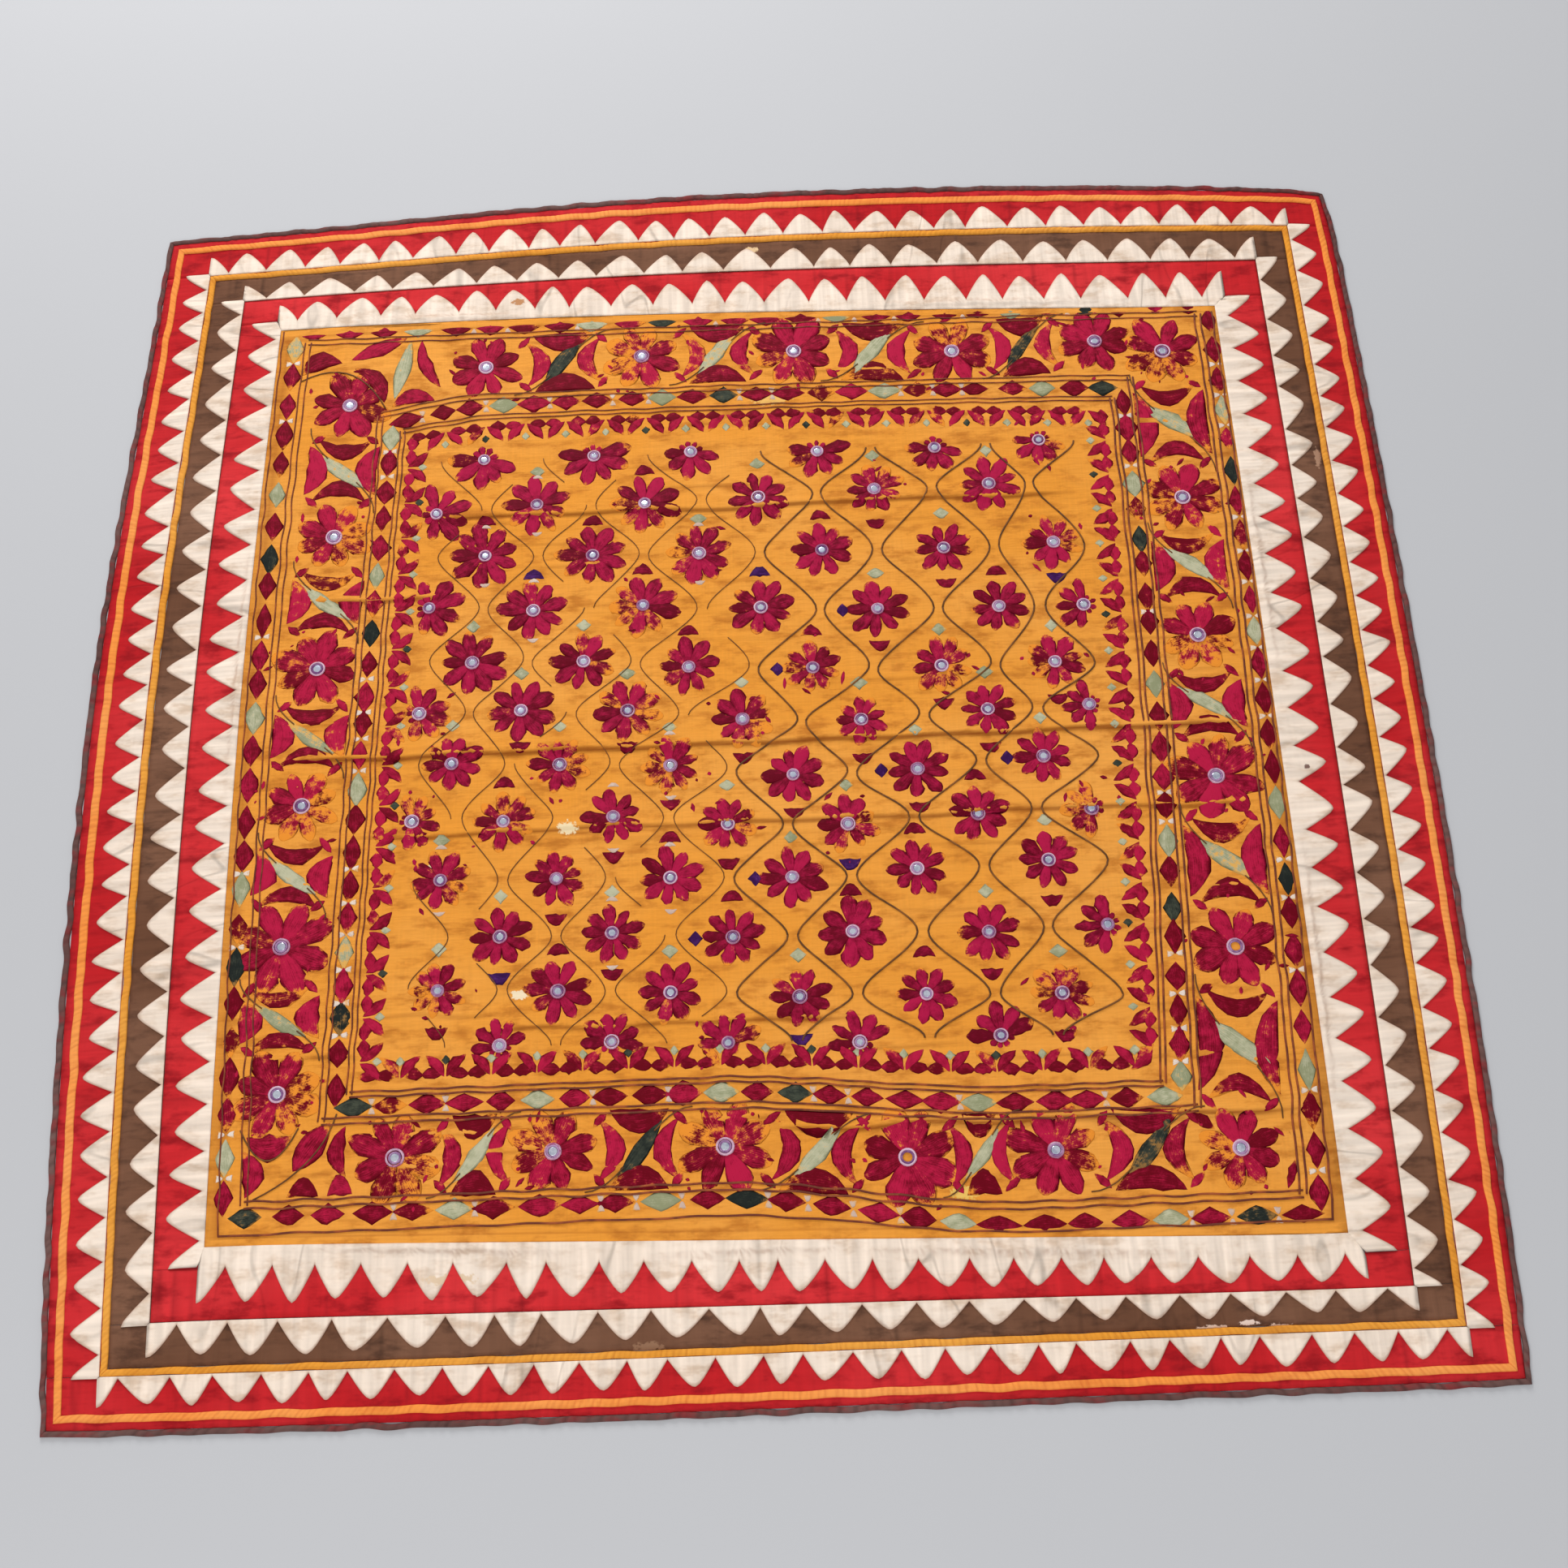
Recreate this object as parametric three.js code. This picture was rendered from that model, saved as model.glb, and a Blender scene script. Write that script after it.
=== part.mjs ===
// Square embroidered cloth panel lying face up: a mustard centre panel, three toothed applique borders on
// red, brown and red strips, yellow piping, an orange edge stripe, a dark edge binding and the round mirrors
// of the wide embroidered border. Millimetres, +Z up, origin under the middle of the panel's box. +Y is the
// panel's top edge as it lies.
//
// Every piece is first drawn on a flat nominal square, then laid down: the square's sides bow outwards, the
// centre leans a little against its frame, the corners are drawn out of square, and the centre panel stands
// up in long folds.
import * as THREE from 'three';

// Overall size
const HALF_SIDE = 653; // half of the nominal square, corner to corner 1306
const GAP = 0.4; // between neighbouring pieces
const STATION = 55; // length of one straight step along a bowed edge
const CORNER_MARK = 633; // one more mark where the edge turns in towards a corner

// Layers
const CLOTH = 1.2; // thickness of the ground cloths and of the centre panel
const APPLIQUE = 1.0; // thickness of the turned-under cream cloth
const PIPING_RISE = 2.8;
const STRIPE_RISE = 1.3; // the orange stripe's own thickness
const BINDING_RISE = 2.6;
const TRIM_SHOULDER = 0.6; // height of a trim's edges, as a share of its rise

// Bands, as distances inwards from the nominal outer edge
const BINDING_IN = 7;
const STRIPE_OUT = 12;
const STRIPE_IN = 19;
const OUTER_TIPS = 23.5;
const OUTER_BASE = 51.5;
const PIPING_IN = 58;
const MIDDLE_TIPS = 65;
const MIDDLE_BASE = 92.5;
const INNER_TIPS = 101.5;
const INNER_BASE = 131.5;
const BASE_TURN = 2; // straight strip that joins the teeth of the outer and middle rows

// The four sides, clockwise from the top: turn about +Z, where the centre panel begins, the outward bow of
// the edge and how sharply it dies away inwards, and the side's teeth in each row.
const SIDES = [
  { name: 'top', turn: 0, centre: 143, bow: 31, fade: 5, outer: 28, middle: 23, inner: 23 },
  { name: 'right', turn: 1, centre: 144, bow: 12, fade: 4, outer: 29, middle: 23, inner: 23 },
  { name: 'bottom', turn: 2, centre: 149, bow: 6, fade: 4, outer: 29, middle: 23, inner: 24 },
  { name: 'left', turn: 3, centre: 136, bow: 32, fade: 4, outer: 30, middle: 23, inner: 23 },
];

// The four corners, clockwise from the end of the top side: how far each is drawn to the right and away from
// the viewer, how far its tip is rounded in, and how far the bands inside it are gathered in to the middle.
const CORNERS = [
  { right: 3, away: 0, round: 9, gather: 0 },
  { right: -1, away: -7, round: 2, gather: 0 },
  { right: -4, away: -1, round: 2, gather: 0 },
  { right: 0, away: 0, round: 4, gather: 8 },
];
const BOW_SHAPE = 2; // a parabola
const CORNER_FADE = 2; // how sharply a corner's own draw dies away inwards
const ROUND_FADE = 20;
const LEAN = 20; // how far the centre panel slips against its frame, down at its right and up at its left
const LEAN_FADE = 8; // how sharply the slip dies away towards the left and right edges
const LEAN_FULL = 0.8; // the slip holds up to this share of the half side, and is gone at the next
const LEAN_GONE = 0.9;

// Teeth
const TIP_SHARE = 0.12; // half width of a rounded tip, as a share of the tooth
const TIP_DROP = 0.07; // how much lower the tip's shoulders are, as a share of the height
const UNEVEN_PITCH = 0.1; // share of the pitch by which notches and tips wander
const UNEVEN_RISE = 0.07; // share of the height by which tips fall short
const ROW_SEED = 100; // keeps the unevenness of the four sides apart
const SCATTER = { index: 12.9898, use: 78.233, spread: 43758.5453 }; // turns an index into an uneven value

// Long folds of the centre panel, each a row: height of its crest line on the panel, where it starts and
// ends, how far it stands up and its half width. They stay level while the panel's edges lean.
const FOLDS = [
  { y: 271, from: -370, to: 345, rise: 4.0, half: 15 },
  { y: 176, from: -490, to: -300, rise: 3.0, half: 14 },
  { y: -5, from: -500, to: 495, rise: 5.0, half: 16 },
  { y: -91, from: -420, to: 497, rise: 3.4, half: 15 },
  { y: -295, from: -300, to: 95, rise: 2.8, half: 15 },
  { y: -402, from: -20, to: 497, rise: 4.6, half: 16 },
];
const LEVEL_FADE = 8; // how sharply the rows turn from level to the lean of the panel's edges
const FOLD_END = 60; // length over which a fold runs out

// Mirrors of the wide embroidered border, by the side they stand along and their places on the panel
const MIRROR_RADIUS = 8.5;
const MIRROR_TAPER = 1; // how far the stitched ring draws in at its top
const MIRROR_GLASS = 5; // radius of the glass that shows
const MIRROR_LIP = 0.6; // width of the ring's slope down to the glass
const MIRROR_RIM = 1.6; // height of the ring
const MIRROR_FACE = 0.9; // height of the glass
const MIRROR_SIDES = 8;
const MIRRORS = {
  top: [[-435, 418], [-288, 460], [-118, 466], [48, 464], [220, 455], [376, 460], [448, 443]],
  right: [[449, 257], [446, 93], [446, -65], [443, -244]],
  bottom: [[424, -439], [255, -434], [119, -435], [-48, -418], [-207, -416], [-353, -416]],
  left: [[-466, -351], [-471, -204], [-460, -56], [-453, 97], [-444, 253]],
};

// Finishes
const MUSTARD = 0xe39a35;
const RED = 0xc3272d;
const BROWN = 0x64452f;
const CREAM = 0xeadbc4;
const YELLOW = 0xe0902c;
const ORANGE = 0xee8a3c;
const DARK = 0x5c4742;
const SILVER = 0xd5dbe2;
const cloth = (color) => new THREE.MeshStandardMaterial({ color, roughness: 0.9, metalness: 0 });
const silvered = () => new THREE.MeshStandardMaterial({ color: SILVER, roughness: 0.15, metalness: 0.6 });

const before = (side) => SIDES[(side.turn + 3) % 4];
const after = (side) => SIDES[(side.turn + 1) % 4];

// A repeatable uneven value from -1 to 1 for each tooth and use
function uneven(index, use) {
  const wave = Math.sin(index * SCATTER.index + use * SCATTER.use) * SCATTER.spread;
  return 2 * (wave - Math.floor(wave)) - 1;
}

// A place on a side, by its run along the edge and its depth inwards, as a point of the nominal square
function onSide(side, run, depth) {
  const reach = HALF_SIDE - depth;
  return [[run, reach], [reach, -run], [-run, -reach], [-reach, run]][side.turn];
}

// How far the cloth has slipped down at a point of the nominal square
function lean(x, y) {
  const across = x / HALF_SIDE;
  const held = THREE.MathUtils.smoothstep(Math.abs(y) / HALF_SIDE, LEAN_FULL, LEAN_GONE);
  return LEAN * across * (1 - across ** LEAN_FADE) * (1 - held);
}

// Lays a point of the nominal square down as the cloth lies
function lay(x, y) {
  const across = x / HALF_SIDE;
  const up = y / HALF_SIDE;
  const place = [x, y];
  const towards = [up, across, -up, -across];
  const along = [across, up, across, up];
  for (const { turn, bow, fade } of SIDES) {
    const out = bow * (1 - Math.abs(along[turn]) ** BOW_SHAPE) * Math.max(0, towards[turn]) ** fade;
    const axis = turn % 2 === 0 ? 1 : 0;
    place[axis] += out * (turn < 2 ? 1 : -1);
  }
  place[1] -= lean(x, y);
  CORNERS.forEach(({ right, away, round, gather }, turn) => {
    const near = Math.max(0, towards[turn]) * Math.max(0, towards[(turn + 1) % 4]);
    const drawn = near ** CORNER_FADE;
    const pull = (round * near ** ROUND_FADE + 4 * gather * drawn * (1 - drawn)) / Math.SQRT2;
    place[0] += right * drawn - pull * Math.sign(across);
    place[1] += away * drawn - pull * Math.sign(up);
  });
  return place;
}

// How far the centre panel stands up at a place along one of its level rows
function foldRise(x, y) {
  let rise = 0;
  for (const fold of FOLDS) {
    const runOut = Math.min(1, Math.max(0, Math.min(x - fold.from, fold.to - x) / FOLD_END));
    const flank = Math.max(0, 1 - Math.abs(y - fold.y) / fold.half);
    rise = Math.max(rise, fold.rise * runOut * flank);
  }
  return rise;
}

// Moves every vertex of a geometry by a function of its three coordinates
function bend(geometry, move) {
  const position = geometry.getAttribute('position');
  for (let i = 0; i < position.count; i += 1) {
    position.setXYZ(i, ...move(position.getX(i), position.getY(i), position.getZ(i)));
  }
  geometry.computeVertexNormals();
  return geometry;
}

// Steps from start to end that share the marks of one common scale
function stations(start, end, extra = []) {
  const marks = new Set([start, end, -CORNER_MARK, CORNER_MARK]);
  for (let at = Math.ceil(start / STATION) * STATION; at < end; at += STATION) marks.add(at);
  for (const at of extra) marks.add(at);
  return [...marks].filter((at) => at >= start && at <= end).sort((one, two) => one - two);
}

// A flat piece of cloth cut to an outline of nominal points, laid down between two heights
function cutCloth(outline, bottom, thickness) {
  const shape = new THREE.Shape(outline.map(([x, y]) => new THREE.Vector2(...lay(x, y))));
  const slab = new THREE.ExtrudeGeometry(shape, { depth: thickness, bevelEnabled: false });
  return slab.translate(0, 0, bottom);
}

// A straight strip of one side between two depths, with square ends
function strip(side, outer, inner, start, end) {
  const runs = stations(start, end);
  const outside = runs.map((run) => onSide(side, run, outer));
  const inside = runs.toReversed().map((run) => onSide(side, run, inner));
  return cutCloth([...outside, ...inside], 0, CLOTH);
}

// The toothed edge of a side as runs and rises: whole teeth between notches, half a tooth at each square end
function teeth(half, count, height, seed) {
  const pitch = (2 * half) / (count + 1);
  const notch = (k) => -half + pitch * (k + 0.5 + UNEVEN_PITCH * uneven(seed + k, 1));
  const rise = (k) => height * (1 - UNEVEN_RISE * (1 + uneven(seed + k, 2)));
  const shoulder = pitch * TIP_SHARE;
  const points = [[-half, rise(0)], [-half + shoulder, rise(0) * (1 - TIP_DROP)], [notch(0), 0]];
  for (let k = 0; k < count; k += 1) {
    const width = notch(k + 1) - notch(k);
    const tip = notch(k) + width * (0.5 + UNEVEN_PITCH * uneven(seed + k, 3));
    const low = rise(k + 1) * (1 - TIP_DROP);
    points.push([tip - width * TIP_SHARE, low], [tip, rise(k + 1)], [tip + width * TIP_SHARE, low]);
    points.push([notch(k + 1), 0]);
  }
  points.push([half - shoulder, rise(count + 1) * (1 - TIP_DROP)], [half, rise(count + 1)]);
  return points;
}

// A cream strip with teeth pointing outwards and a straight inner edge whose ends may be mitred
function toothedStrip(side, tips, base, count, inner, start, end) {
  const half = HALF_SIDE - base - GAP;
  const seed = ROW_SEED * side.turn + tips;
  const outer = teeth(half, count, base - tips, seed).map(([run, rise]) => onSide(side, run, base - rise));
  const straight = stations(start, end).toReversed().map((run) => onSide(side, run, inner));
  return cutCloth([...outer, ...straight], CLOTH + GAP, APPLIQUE);
}

// A narrow trim with a rounded back, mitred at both ends: a section carried along the side
function roundedTrim(side, outer, inner, bottom, rise) {
  const shoulder = rise * TRIM_SHOULDER;
  const section = new THREE.Shape();
  section.moveTo(outer, 0);
  section.lineTo(inner, 0);
  section.lineTo(inner, shoulder);
  section.lineTo((outer + inner) / 2, rise);
  section.lineTo(outer, shoulder);
  const marks = stations(inner - HALF_SIDE, HALF_SIDE - inner);
  const steps = marks.length - 1;
  const length = new THREE.ExtrudeGeometry(section, { depth: steps, steps, bevelEnabled: false });
  return bend(length, (depth, up, along) => {
    const step = Math.round(steps - along);
    const mitre = HALF_SIDE - depth - GAP;
    const atEnd = step === 0 || step === steps;
    const run = atEnd ? mitre * Math.sign(marks[step]) : marks[step];
    return [...lay(...onSide(side, run, depth)), up + bottom];
  });
}

// The centre panel: a thin sheet that stands up in its folds and lies flat between them
function centrePanel() {
  const [top, right, bottom, left] = SIDES.map((side) => HALF_SIDE - side.centre - GAP);
  const crests = FOLDS.flatMap(({ y, half }) => [y - half, y, y + half]);
  const columns = stations(-left, right);
  const rows = stations(-bottom, top, crests);
  const grid = new THREE.BoxGeometry(1, 1, 1, columns.length - 1, rows.length - 1, 1);
  return bend(grid, (u, v, w) => {
    const x = columns[Math.round((u + 0.5) * (columns.length - 1))];
    const y = rows[Math.round((v + 0.5) * (rows.length - 1))];
    const level = y + lean(x, y) * (1 - (y / (y > 0 ? top : bottom)) ** LEVEL_FADE);
    return [...lay(x, level), (w + 0.5) * CLOTH + foldRise(x, y)];
  });
}

// A round of mirror glass in its raised ring of stitching
function mirror() {
  const profile = [
    [0, 0],
    [MIRROR_RADIUS, 0],
    [MIRROR_RADIUS - MIRROR_TAPER, MIRROR_RIM],
    [MIRROR_GLASS + MIRROR_LIP, MIRROR_RIM],
    [MIRROR_GLASS, MIRROR_FACE],
    [0, MIRROR_FACE],
  ];
  const turned = new THREE.LatheGeometry(profile.map(([r, z]) => new THREE.Vector2(r, z)), MIRROR_SIDES);
  return turned.rotateX(Math.PI / 2);
}

const panel = new THREE.Group();

function add(name, geometry, finish) {
  const mesh = new THREE.Mesh(geometry, finish);
  mesh.name = name;
  panel.add(mesh);
  return mesh;
}

// The ground strips of a side. The top and bottom ones run to the corners, the others stop against them.
function addGrounds(side, centreStart, centreEnd) {
  const runsThrough = side.turn % 2 === 0;
  const squareEnd = (outer, inner) => HALF_SIDE - (runsThrough ? outer : inner) - GAP;

  const outerEnd = squareEnd(BINDING_IN, OUTER_BASE);
  const outerGround = strip(side, BINDING_IN + GAP, OUTER_BASE - GAP, -outerEnd, outerEnd);
  add(`outer_ground_${side.name}`, outerGround, cloth(RED));

  const middleEnd = squareEnd(PIPING_IN, MIDDLE_BASE);
  const middleGround = strip(side, PIPING_IN + GAP, MIDDLE_BASE - GAP, -middleEnd, middleEnd);
  add(`middle_ground_${side.name}`, middleGround, cloth(BROWN));

  const innerStart = runsThrough ? MIDDLE_BASE - HALF_SIDE + GAP : centreStart + GAP;
  const innerEnd = runsThrough ? HALF_SIDE - MIDDLE_BASE - GAP : centreEnd - GAP;
  const innerGround = strip(side, MIDDLE_BASE, side.centre - GAP, innerStart, innerEnd);
  add(`inner_ground_${side.name}`, innerGround, cloth(RED));
}

// The three rows of cream teeth of a side
function addTeeth(side, centreStart, centreEnd) {
  const toothedRow = (tips, base, count) => {
    const half = HALF_SIDE - base;
    return toothedStrip(side, tips, base - BASE_TURN, count, base - GAP, -half, half);
  };
  add(`outer_teeth_${side.name}`, toothedRow(OUTER_TIPS, OUTER_BASE, side.outer), cloth(CREAM));
  add(`middle_teeth_${side.name}`, toothedRow(MIDDLE_TIPS, MIDDLE_BASE, side.middle), cloth(CREAM));

  const plainEdge = side.centre - GAP;
  const innerTeeth = toothedStrip(
    side, INNER_TIPS, INNER_BASE, side.inner, plainEdge, centreStart + GAP, centreEnd - GAP,
  );
  add(`inner_teeth_${side.name}`, innerTeeth, cloth(CREAM));
}

// The piping between the red and brown strips, the stripe sewn on the outer red and the edge binding
function addTrims(side) {
  const stripe = roundedTrim(side, STRIPE_OUT, STRIPE_IN, CLOTH + GAP, STRIPE_RISE);
  add(`piping_${side.name}`, roundedTrim(side, OUTER_BASE, PIPING_IN, 0, PIPING_RISE), cloth(YELLOW));
  add(`edge_stripe_${side.name}`, stripe, cloth(ORANGE));
  add(`edge_binding_${side.name}`, roundedTrim(side, 0, BINDING_IN, 0, BINDING_RISE), cloth(DARK));
}

add('centre_panel', centrePanel(), cloth(MUSTARD));

for (const side of SIDES) {
  const centreStart = before(side).centre - HALF_SIDE;
  const centreEnd = HALF_SIDE - after(side).centre;
  addGrounds(side, centreStart, centreEnd);
  addTeeth(side, centreStart, centreEnd);
  addTrims(side);
  MIRRORS[side.name].forEach(([x, y], index) => {
    const glass = add(`mirror_${side.name}_${index + 1}`, mirror(), silvered());
    glass.position.set(x, y, CLOTH + GAP);
  });
}

// The origin goes under the middle of the panel's box
const middle = new THREE.Box3().setFromObject(panel).getCenter(new THREE.Vector3());
panel.position.set(-middle.x, -middle.y, 0);

export default panel;
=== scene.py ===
"""Looks of a square embroidered and mirror-worked cloth panel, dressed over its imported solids.

Plan places are millimetres on the panel as it lies, x to the right and y towards the far edge. The frame is
in metres and stands a little aside of the plan, by an offset that is read from one mirror's solid.
"""
import logging
import math
from collections.abc import Iterator
from dataclasses import dataclass, field, replace
from enum import Enum
from functools import cached_property

import bpy
import numpy as np
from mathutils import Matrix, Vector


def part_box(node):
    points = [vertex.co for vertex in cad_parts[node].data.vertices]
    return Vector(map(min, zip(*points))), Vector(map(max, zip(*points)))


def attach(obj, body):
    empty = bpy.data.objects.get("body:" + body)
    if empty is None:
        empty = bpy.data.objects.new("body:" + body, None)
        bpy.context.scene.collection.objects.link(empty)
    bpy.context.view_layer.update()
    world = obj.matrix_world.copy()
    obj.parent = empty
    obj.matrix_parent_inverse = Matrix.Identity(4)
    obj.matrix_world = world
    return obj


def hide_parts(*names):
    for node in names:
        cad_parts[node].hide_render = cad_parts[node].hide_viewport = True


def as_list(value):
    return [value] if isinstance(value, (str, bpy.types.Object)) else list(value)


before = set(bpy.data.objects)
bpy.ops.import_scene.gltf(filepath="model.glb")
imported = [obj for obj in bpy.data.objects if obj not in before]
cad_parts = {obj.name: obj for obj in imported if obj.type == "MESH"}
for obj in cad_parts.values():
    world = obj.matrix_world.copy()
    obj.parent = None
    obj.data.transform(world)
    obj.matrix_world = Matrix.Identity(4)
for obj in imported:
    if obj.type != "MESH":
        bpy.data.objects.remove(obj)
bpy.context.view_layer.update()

Array = np.ndarray
Pair = tuple[float, float]
Pairs = tuple[Pair, ...]
Triple = tuple[float, float, float]
Row = tuple[float, ...]
Shade = Triple
Piece = bpy.types.Object
Node = bpy.types.Node
Socket = bpy.types.NodeSocket
Sockets = bpy.types.bpy_prop_collection
Value = float | tuple | Socket
Words = dict[str, tuple[str, ...]]
LOG = logging.getLogger("embroidered_panel")
MM = 0.001
TAU = 2.0 * math.pi


# Small sums that several pieces share

def lerp(start: float | Array, end: float | Array, share: float | Array) -> Array:
    """Value a share of the way from start to end."""
    return start + (end - start) * share


def smoothstep(value: Array, low: float, high: float) -> Array:
    """Ramp from 0 at low to 1 at high with level ends: 3t squared less 2t cubed."""
    share = np.clip((value - low) / (high - low), 0.0, 1.0)
    return share * share * (3.0 - 2.0 * share)


def through(stations: Triple, share: Array) -> Array:
    """Parabola through three values, at the start, the middle and the end of a side."""
    start, middle, end = stations
    rest = 1.0 - share
    near = start * rest * (1.0 - 2.0 * share) + middle * 4.0 * share * rest
    return near + end * share * (2.0 * share - 1.0)


def bell(off: Array, half: float) -> Array:
    """Bell curve: 1 at its middle, falling by the square of the distance over a half width."""
    return np.exp(-(off / half) ** 2)


def ripple(run: Array, seed: int, waves: int = 5) -> Array:
    """Uneven wave from about -1 to 1, a crest about each unit: sines of seeded rates and phases, summed."""
    draw = np.random.default_rng(seed)
    rates = TAU * (0.35 + 1.15 * draw.random(waves))
    phases = TAU * draw.random(waves)
    return np.sin(np.multiply.outer(run, rates) + phases).sum(-1) / math.sqrt(2.0 * waves)


def linear(red: float, green: float, blue: float) -> Triple:
    """Linear colour of a shade, which is given by screen values from 0 to 255."""
    shade = np.array((red, green, blue)) / 255.0
    low, high = shade / 12.92, ((shade + 0.055) / 1.055) ** 2.4
    return tuple(float(part) for part in np.where(shade <= 0.04045, low, high))


def full_turn(parts: int) -> Array:
    """Angles of even parts of a turn."""
    return np.arange(parts) * TAU / parts


def heading(angle: Array) -> Array:
    """Plan directions at some angles from the right."""
    return join(np.cos(angle), np.sin(angle))


def unit(course: Array) -> Array:
    """Plan directions brought to a length of 1."""
    return course / np.hypot(course[..., 0], course[..., 1])[..., None]


def left_of(course: Array) -> Array:
    """Plan directions a quarter turn to the left of others."""
    return join(-course[..., 1], course[..., 0])


def join(*parts: Array) -> Array:
    """Arrays brought to one shape and stacked along a last axis."""
    return np.stack(np.broadcast_arrays(*parts), -1)


def steps(path: Array) -> Array:
    """Lengths of the steps along a path of plan points."""
    return np.hypot(*np.diff(path, axis=0).T)


def end_means(rings: Array) -> Array:
    """Mean of the first and of the last ring of each body."""
    return np.stack((rings[:, 0].mean(1), rings[:, -1].mean(1)), 1)


def middle_of(node: str) -> Array:
    """Frame place across and up of the middle of a CAD node, in metres."""
    low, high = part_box(node)
    return (np.array(low) + np.array(high))[:2] / 2.0


def stand(name: str, data: bpy.types.ID) -> Piece:
    """New object of a mesh, a lamp or a camera, in the scene."""
    made = bpy.data.objects.new(name, data)
    bpy.context.scene.collection.objects.link(made)
    return made


class Seeded:
    """Something with a scatter of its own, from a seed that its class sets."""

    seed: int

    @cached_property
    def draw(self) -> np.random.Generator:
        """The scatter, started at its first use."""
        return np.random.default_rng(self.seed)


# The panel's sizes, in plan millimetres, as in its solids

class Side(Enum):
    """The four sides, in turning order from the far one."""

    TOP = 0
    RIGHT = 1
    BOTTOM = 2
    LEFT = 3

    @property
    def word(self) -> str:
        """Side's name as the nodes spell it."""
        return self.name.lower()

    @property
    def outward(self) -> Array:
        """Plan direction out of the panel on this side."""
        return np.array(((0.0, 1.0), (1.0, 0.0), (0.0, -1.0), (-1.0, 0.0))[self.value])


@dataclass(frozen=True)
class SideShape:
    """How one side is cut and lies: depth of the centre panel's edge, bow outwards, and teeth in its rows.

    Its teeth have a roundness of the tip and a power that bellies their sides, 1 for straight ones.
    """

    centre: float
    bow: float
    fade: float
    outer: int
    middle: int
    inner: int
    round_tip: float
    belly: float
    inner_belly: float


@dataclass(frozen=True)
class CornerShape:
    """How a corner is drawn to the right and away, how round it is, and how it is gathered in."""

    right: float
    away: float
    round: float
    gather: float


@dataclass(frozen=True)
class Panel:
    """Sizes of the whole panel, and the map from its straight pattern to the plan that it lies on."""

    half_side: float = 653.0
    gap: float = 0.4
    cloth: float = 1.2
    applique: float = 1.0
    binding_in: float = 7.0
    stripe_out: float = 12.0
    stripe_in: float = 19.0
    outer_tips: float = 23.5
    outer_base: float = 51.5
    piping_in: float = 58.0
    middle_tips: float = 65.0
    middle_base: float = 92.5
    inner_tips: float = 101.5
    inner_base: float = 131.5
    base_turn: float = 2.0
    lean: float = 20.0
    lean_fade: int = 8
    lean_ends: Pair = (0.8, 0.9)
    bow_shape: int = 2
    round_fade: int = 20
    sides: tuple[SideShape, ...] = (
        SideShape(143, 31, 5, 28, 23, 23, 0.2, 0.82, 0.82),
        SideShape(144, 12, 4, 29, 23, 23, 0.2, 0.97, 0.97),
        SideShape(149, 6, 4, 29, 23, 24, 0.3, 0.97, 0.82),
        SideShape(136, 32, 4, 30, 23, 23, 0.2, 0.97, 0.97),
    )
    corners: tuple[CornerShape, ...] = (
        CornerShape(3, 0, 9, 0), CornerShape(-1, -7, 2, 0),
        CornerShape(-4, -1, 2, 0), CornerShape(0, 0, 4, 8),
    )
    first_mirror: Pair = (-435.0, 418.0)

    def shape(self, side: Side) -> SideShape:
        """Shape of one side."""
        return self.sides[side.value]

    def offset(self) -> Array:
        """Frame place of the plan's origin, in metres, from the first mirror's solid."""
        return middle_of("mirror_top_1") - np.array(self.first_mirror) * MM

    def lean_at(self, x: Array, y: Array) -> Array:
        """Drop of the right half and rise of the left: a cubic-like swing across, gone near the far edges."""
        across = x / self.half_side
        swing = self.lean * across * (1.0 - across ** self.lean_fade)
        return swing * (1.0 - smoothstep(np.abs(y) / self.half_side, *self.lean_ends))

    def lay(self, x: Array, y: Array) -> tuple[Array, Array]:
        """Plan place of a point of the straight pattern.

        Each side bows outwards by a parabola along it, fading towards the middle by a power; the right half
        leans down; each corner is drawn aside, rounded and gathered by powers of the nearness to it.

        Args:
            x: places across the straight pattern.
            y: places up the straight pattern.

        Returns:
            Places across and up the plan.
        """
        across, up = x / self.half_side, y / self.half_side
        towards = (up, across, -up, -across)
        along = (across, up, across, up)
        place = [np.array(x, float), np.array(y, float)]
        for side in Side:
            shape, turn = self.shape(side), side.value
            bow = shape.bow * (1.0 - np.abs(along[turn]) ** self.bow_shape)
            bow = bow * np.maximum(0.0, towards[turn]) ** shape.fade
            place[1 - turn % 2] += bow if turn < 2 else -bow
        place[1] -= self.lean_at(x, y)
        for turn, corner in enumerate(self.corners):
            near = np.maximum(0.0, towards[turn]) * np.maximum(0.0, towards[(turn + 1) % 4])
            drawn = near ** 2
            pull = corner.round * near ** self.round_fade + 4.0 * corner.gather * drawn * (1.0 - drawn)
            pull = pull / math.sqrt(2.0)
            place[0] += corner.right * drawn - pull * np.sign(x)
            place[1] += corner.away * drawn - pull * np.sign(y)
        return place[0], place[1]

    def on_side(self, side: Side, run: Array, depth: Array) -> tuple[Array, Array]:
        """Plan place a run along a side and a depth in from its edge."""
        reach = self.half_side - depth
        x, y = ((run, reach), (reach, -run), (-run, -reach), (-reach, run))[side.value]
        return self.lay(x, y)

    def place(self, x: Array, y: Array, z: Array) -> Array:
        """Frame points, in metres, of plan places and heights in millimetres."""
        points = join(x, y, z) * MM
        points[..., :2] += self.offset()
        return points


PANEL = Panel()


# Meshes made of lofted bodies

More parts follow.
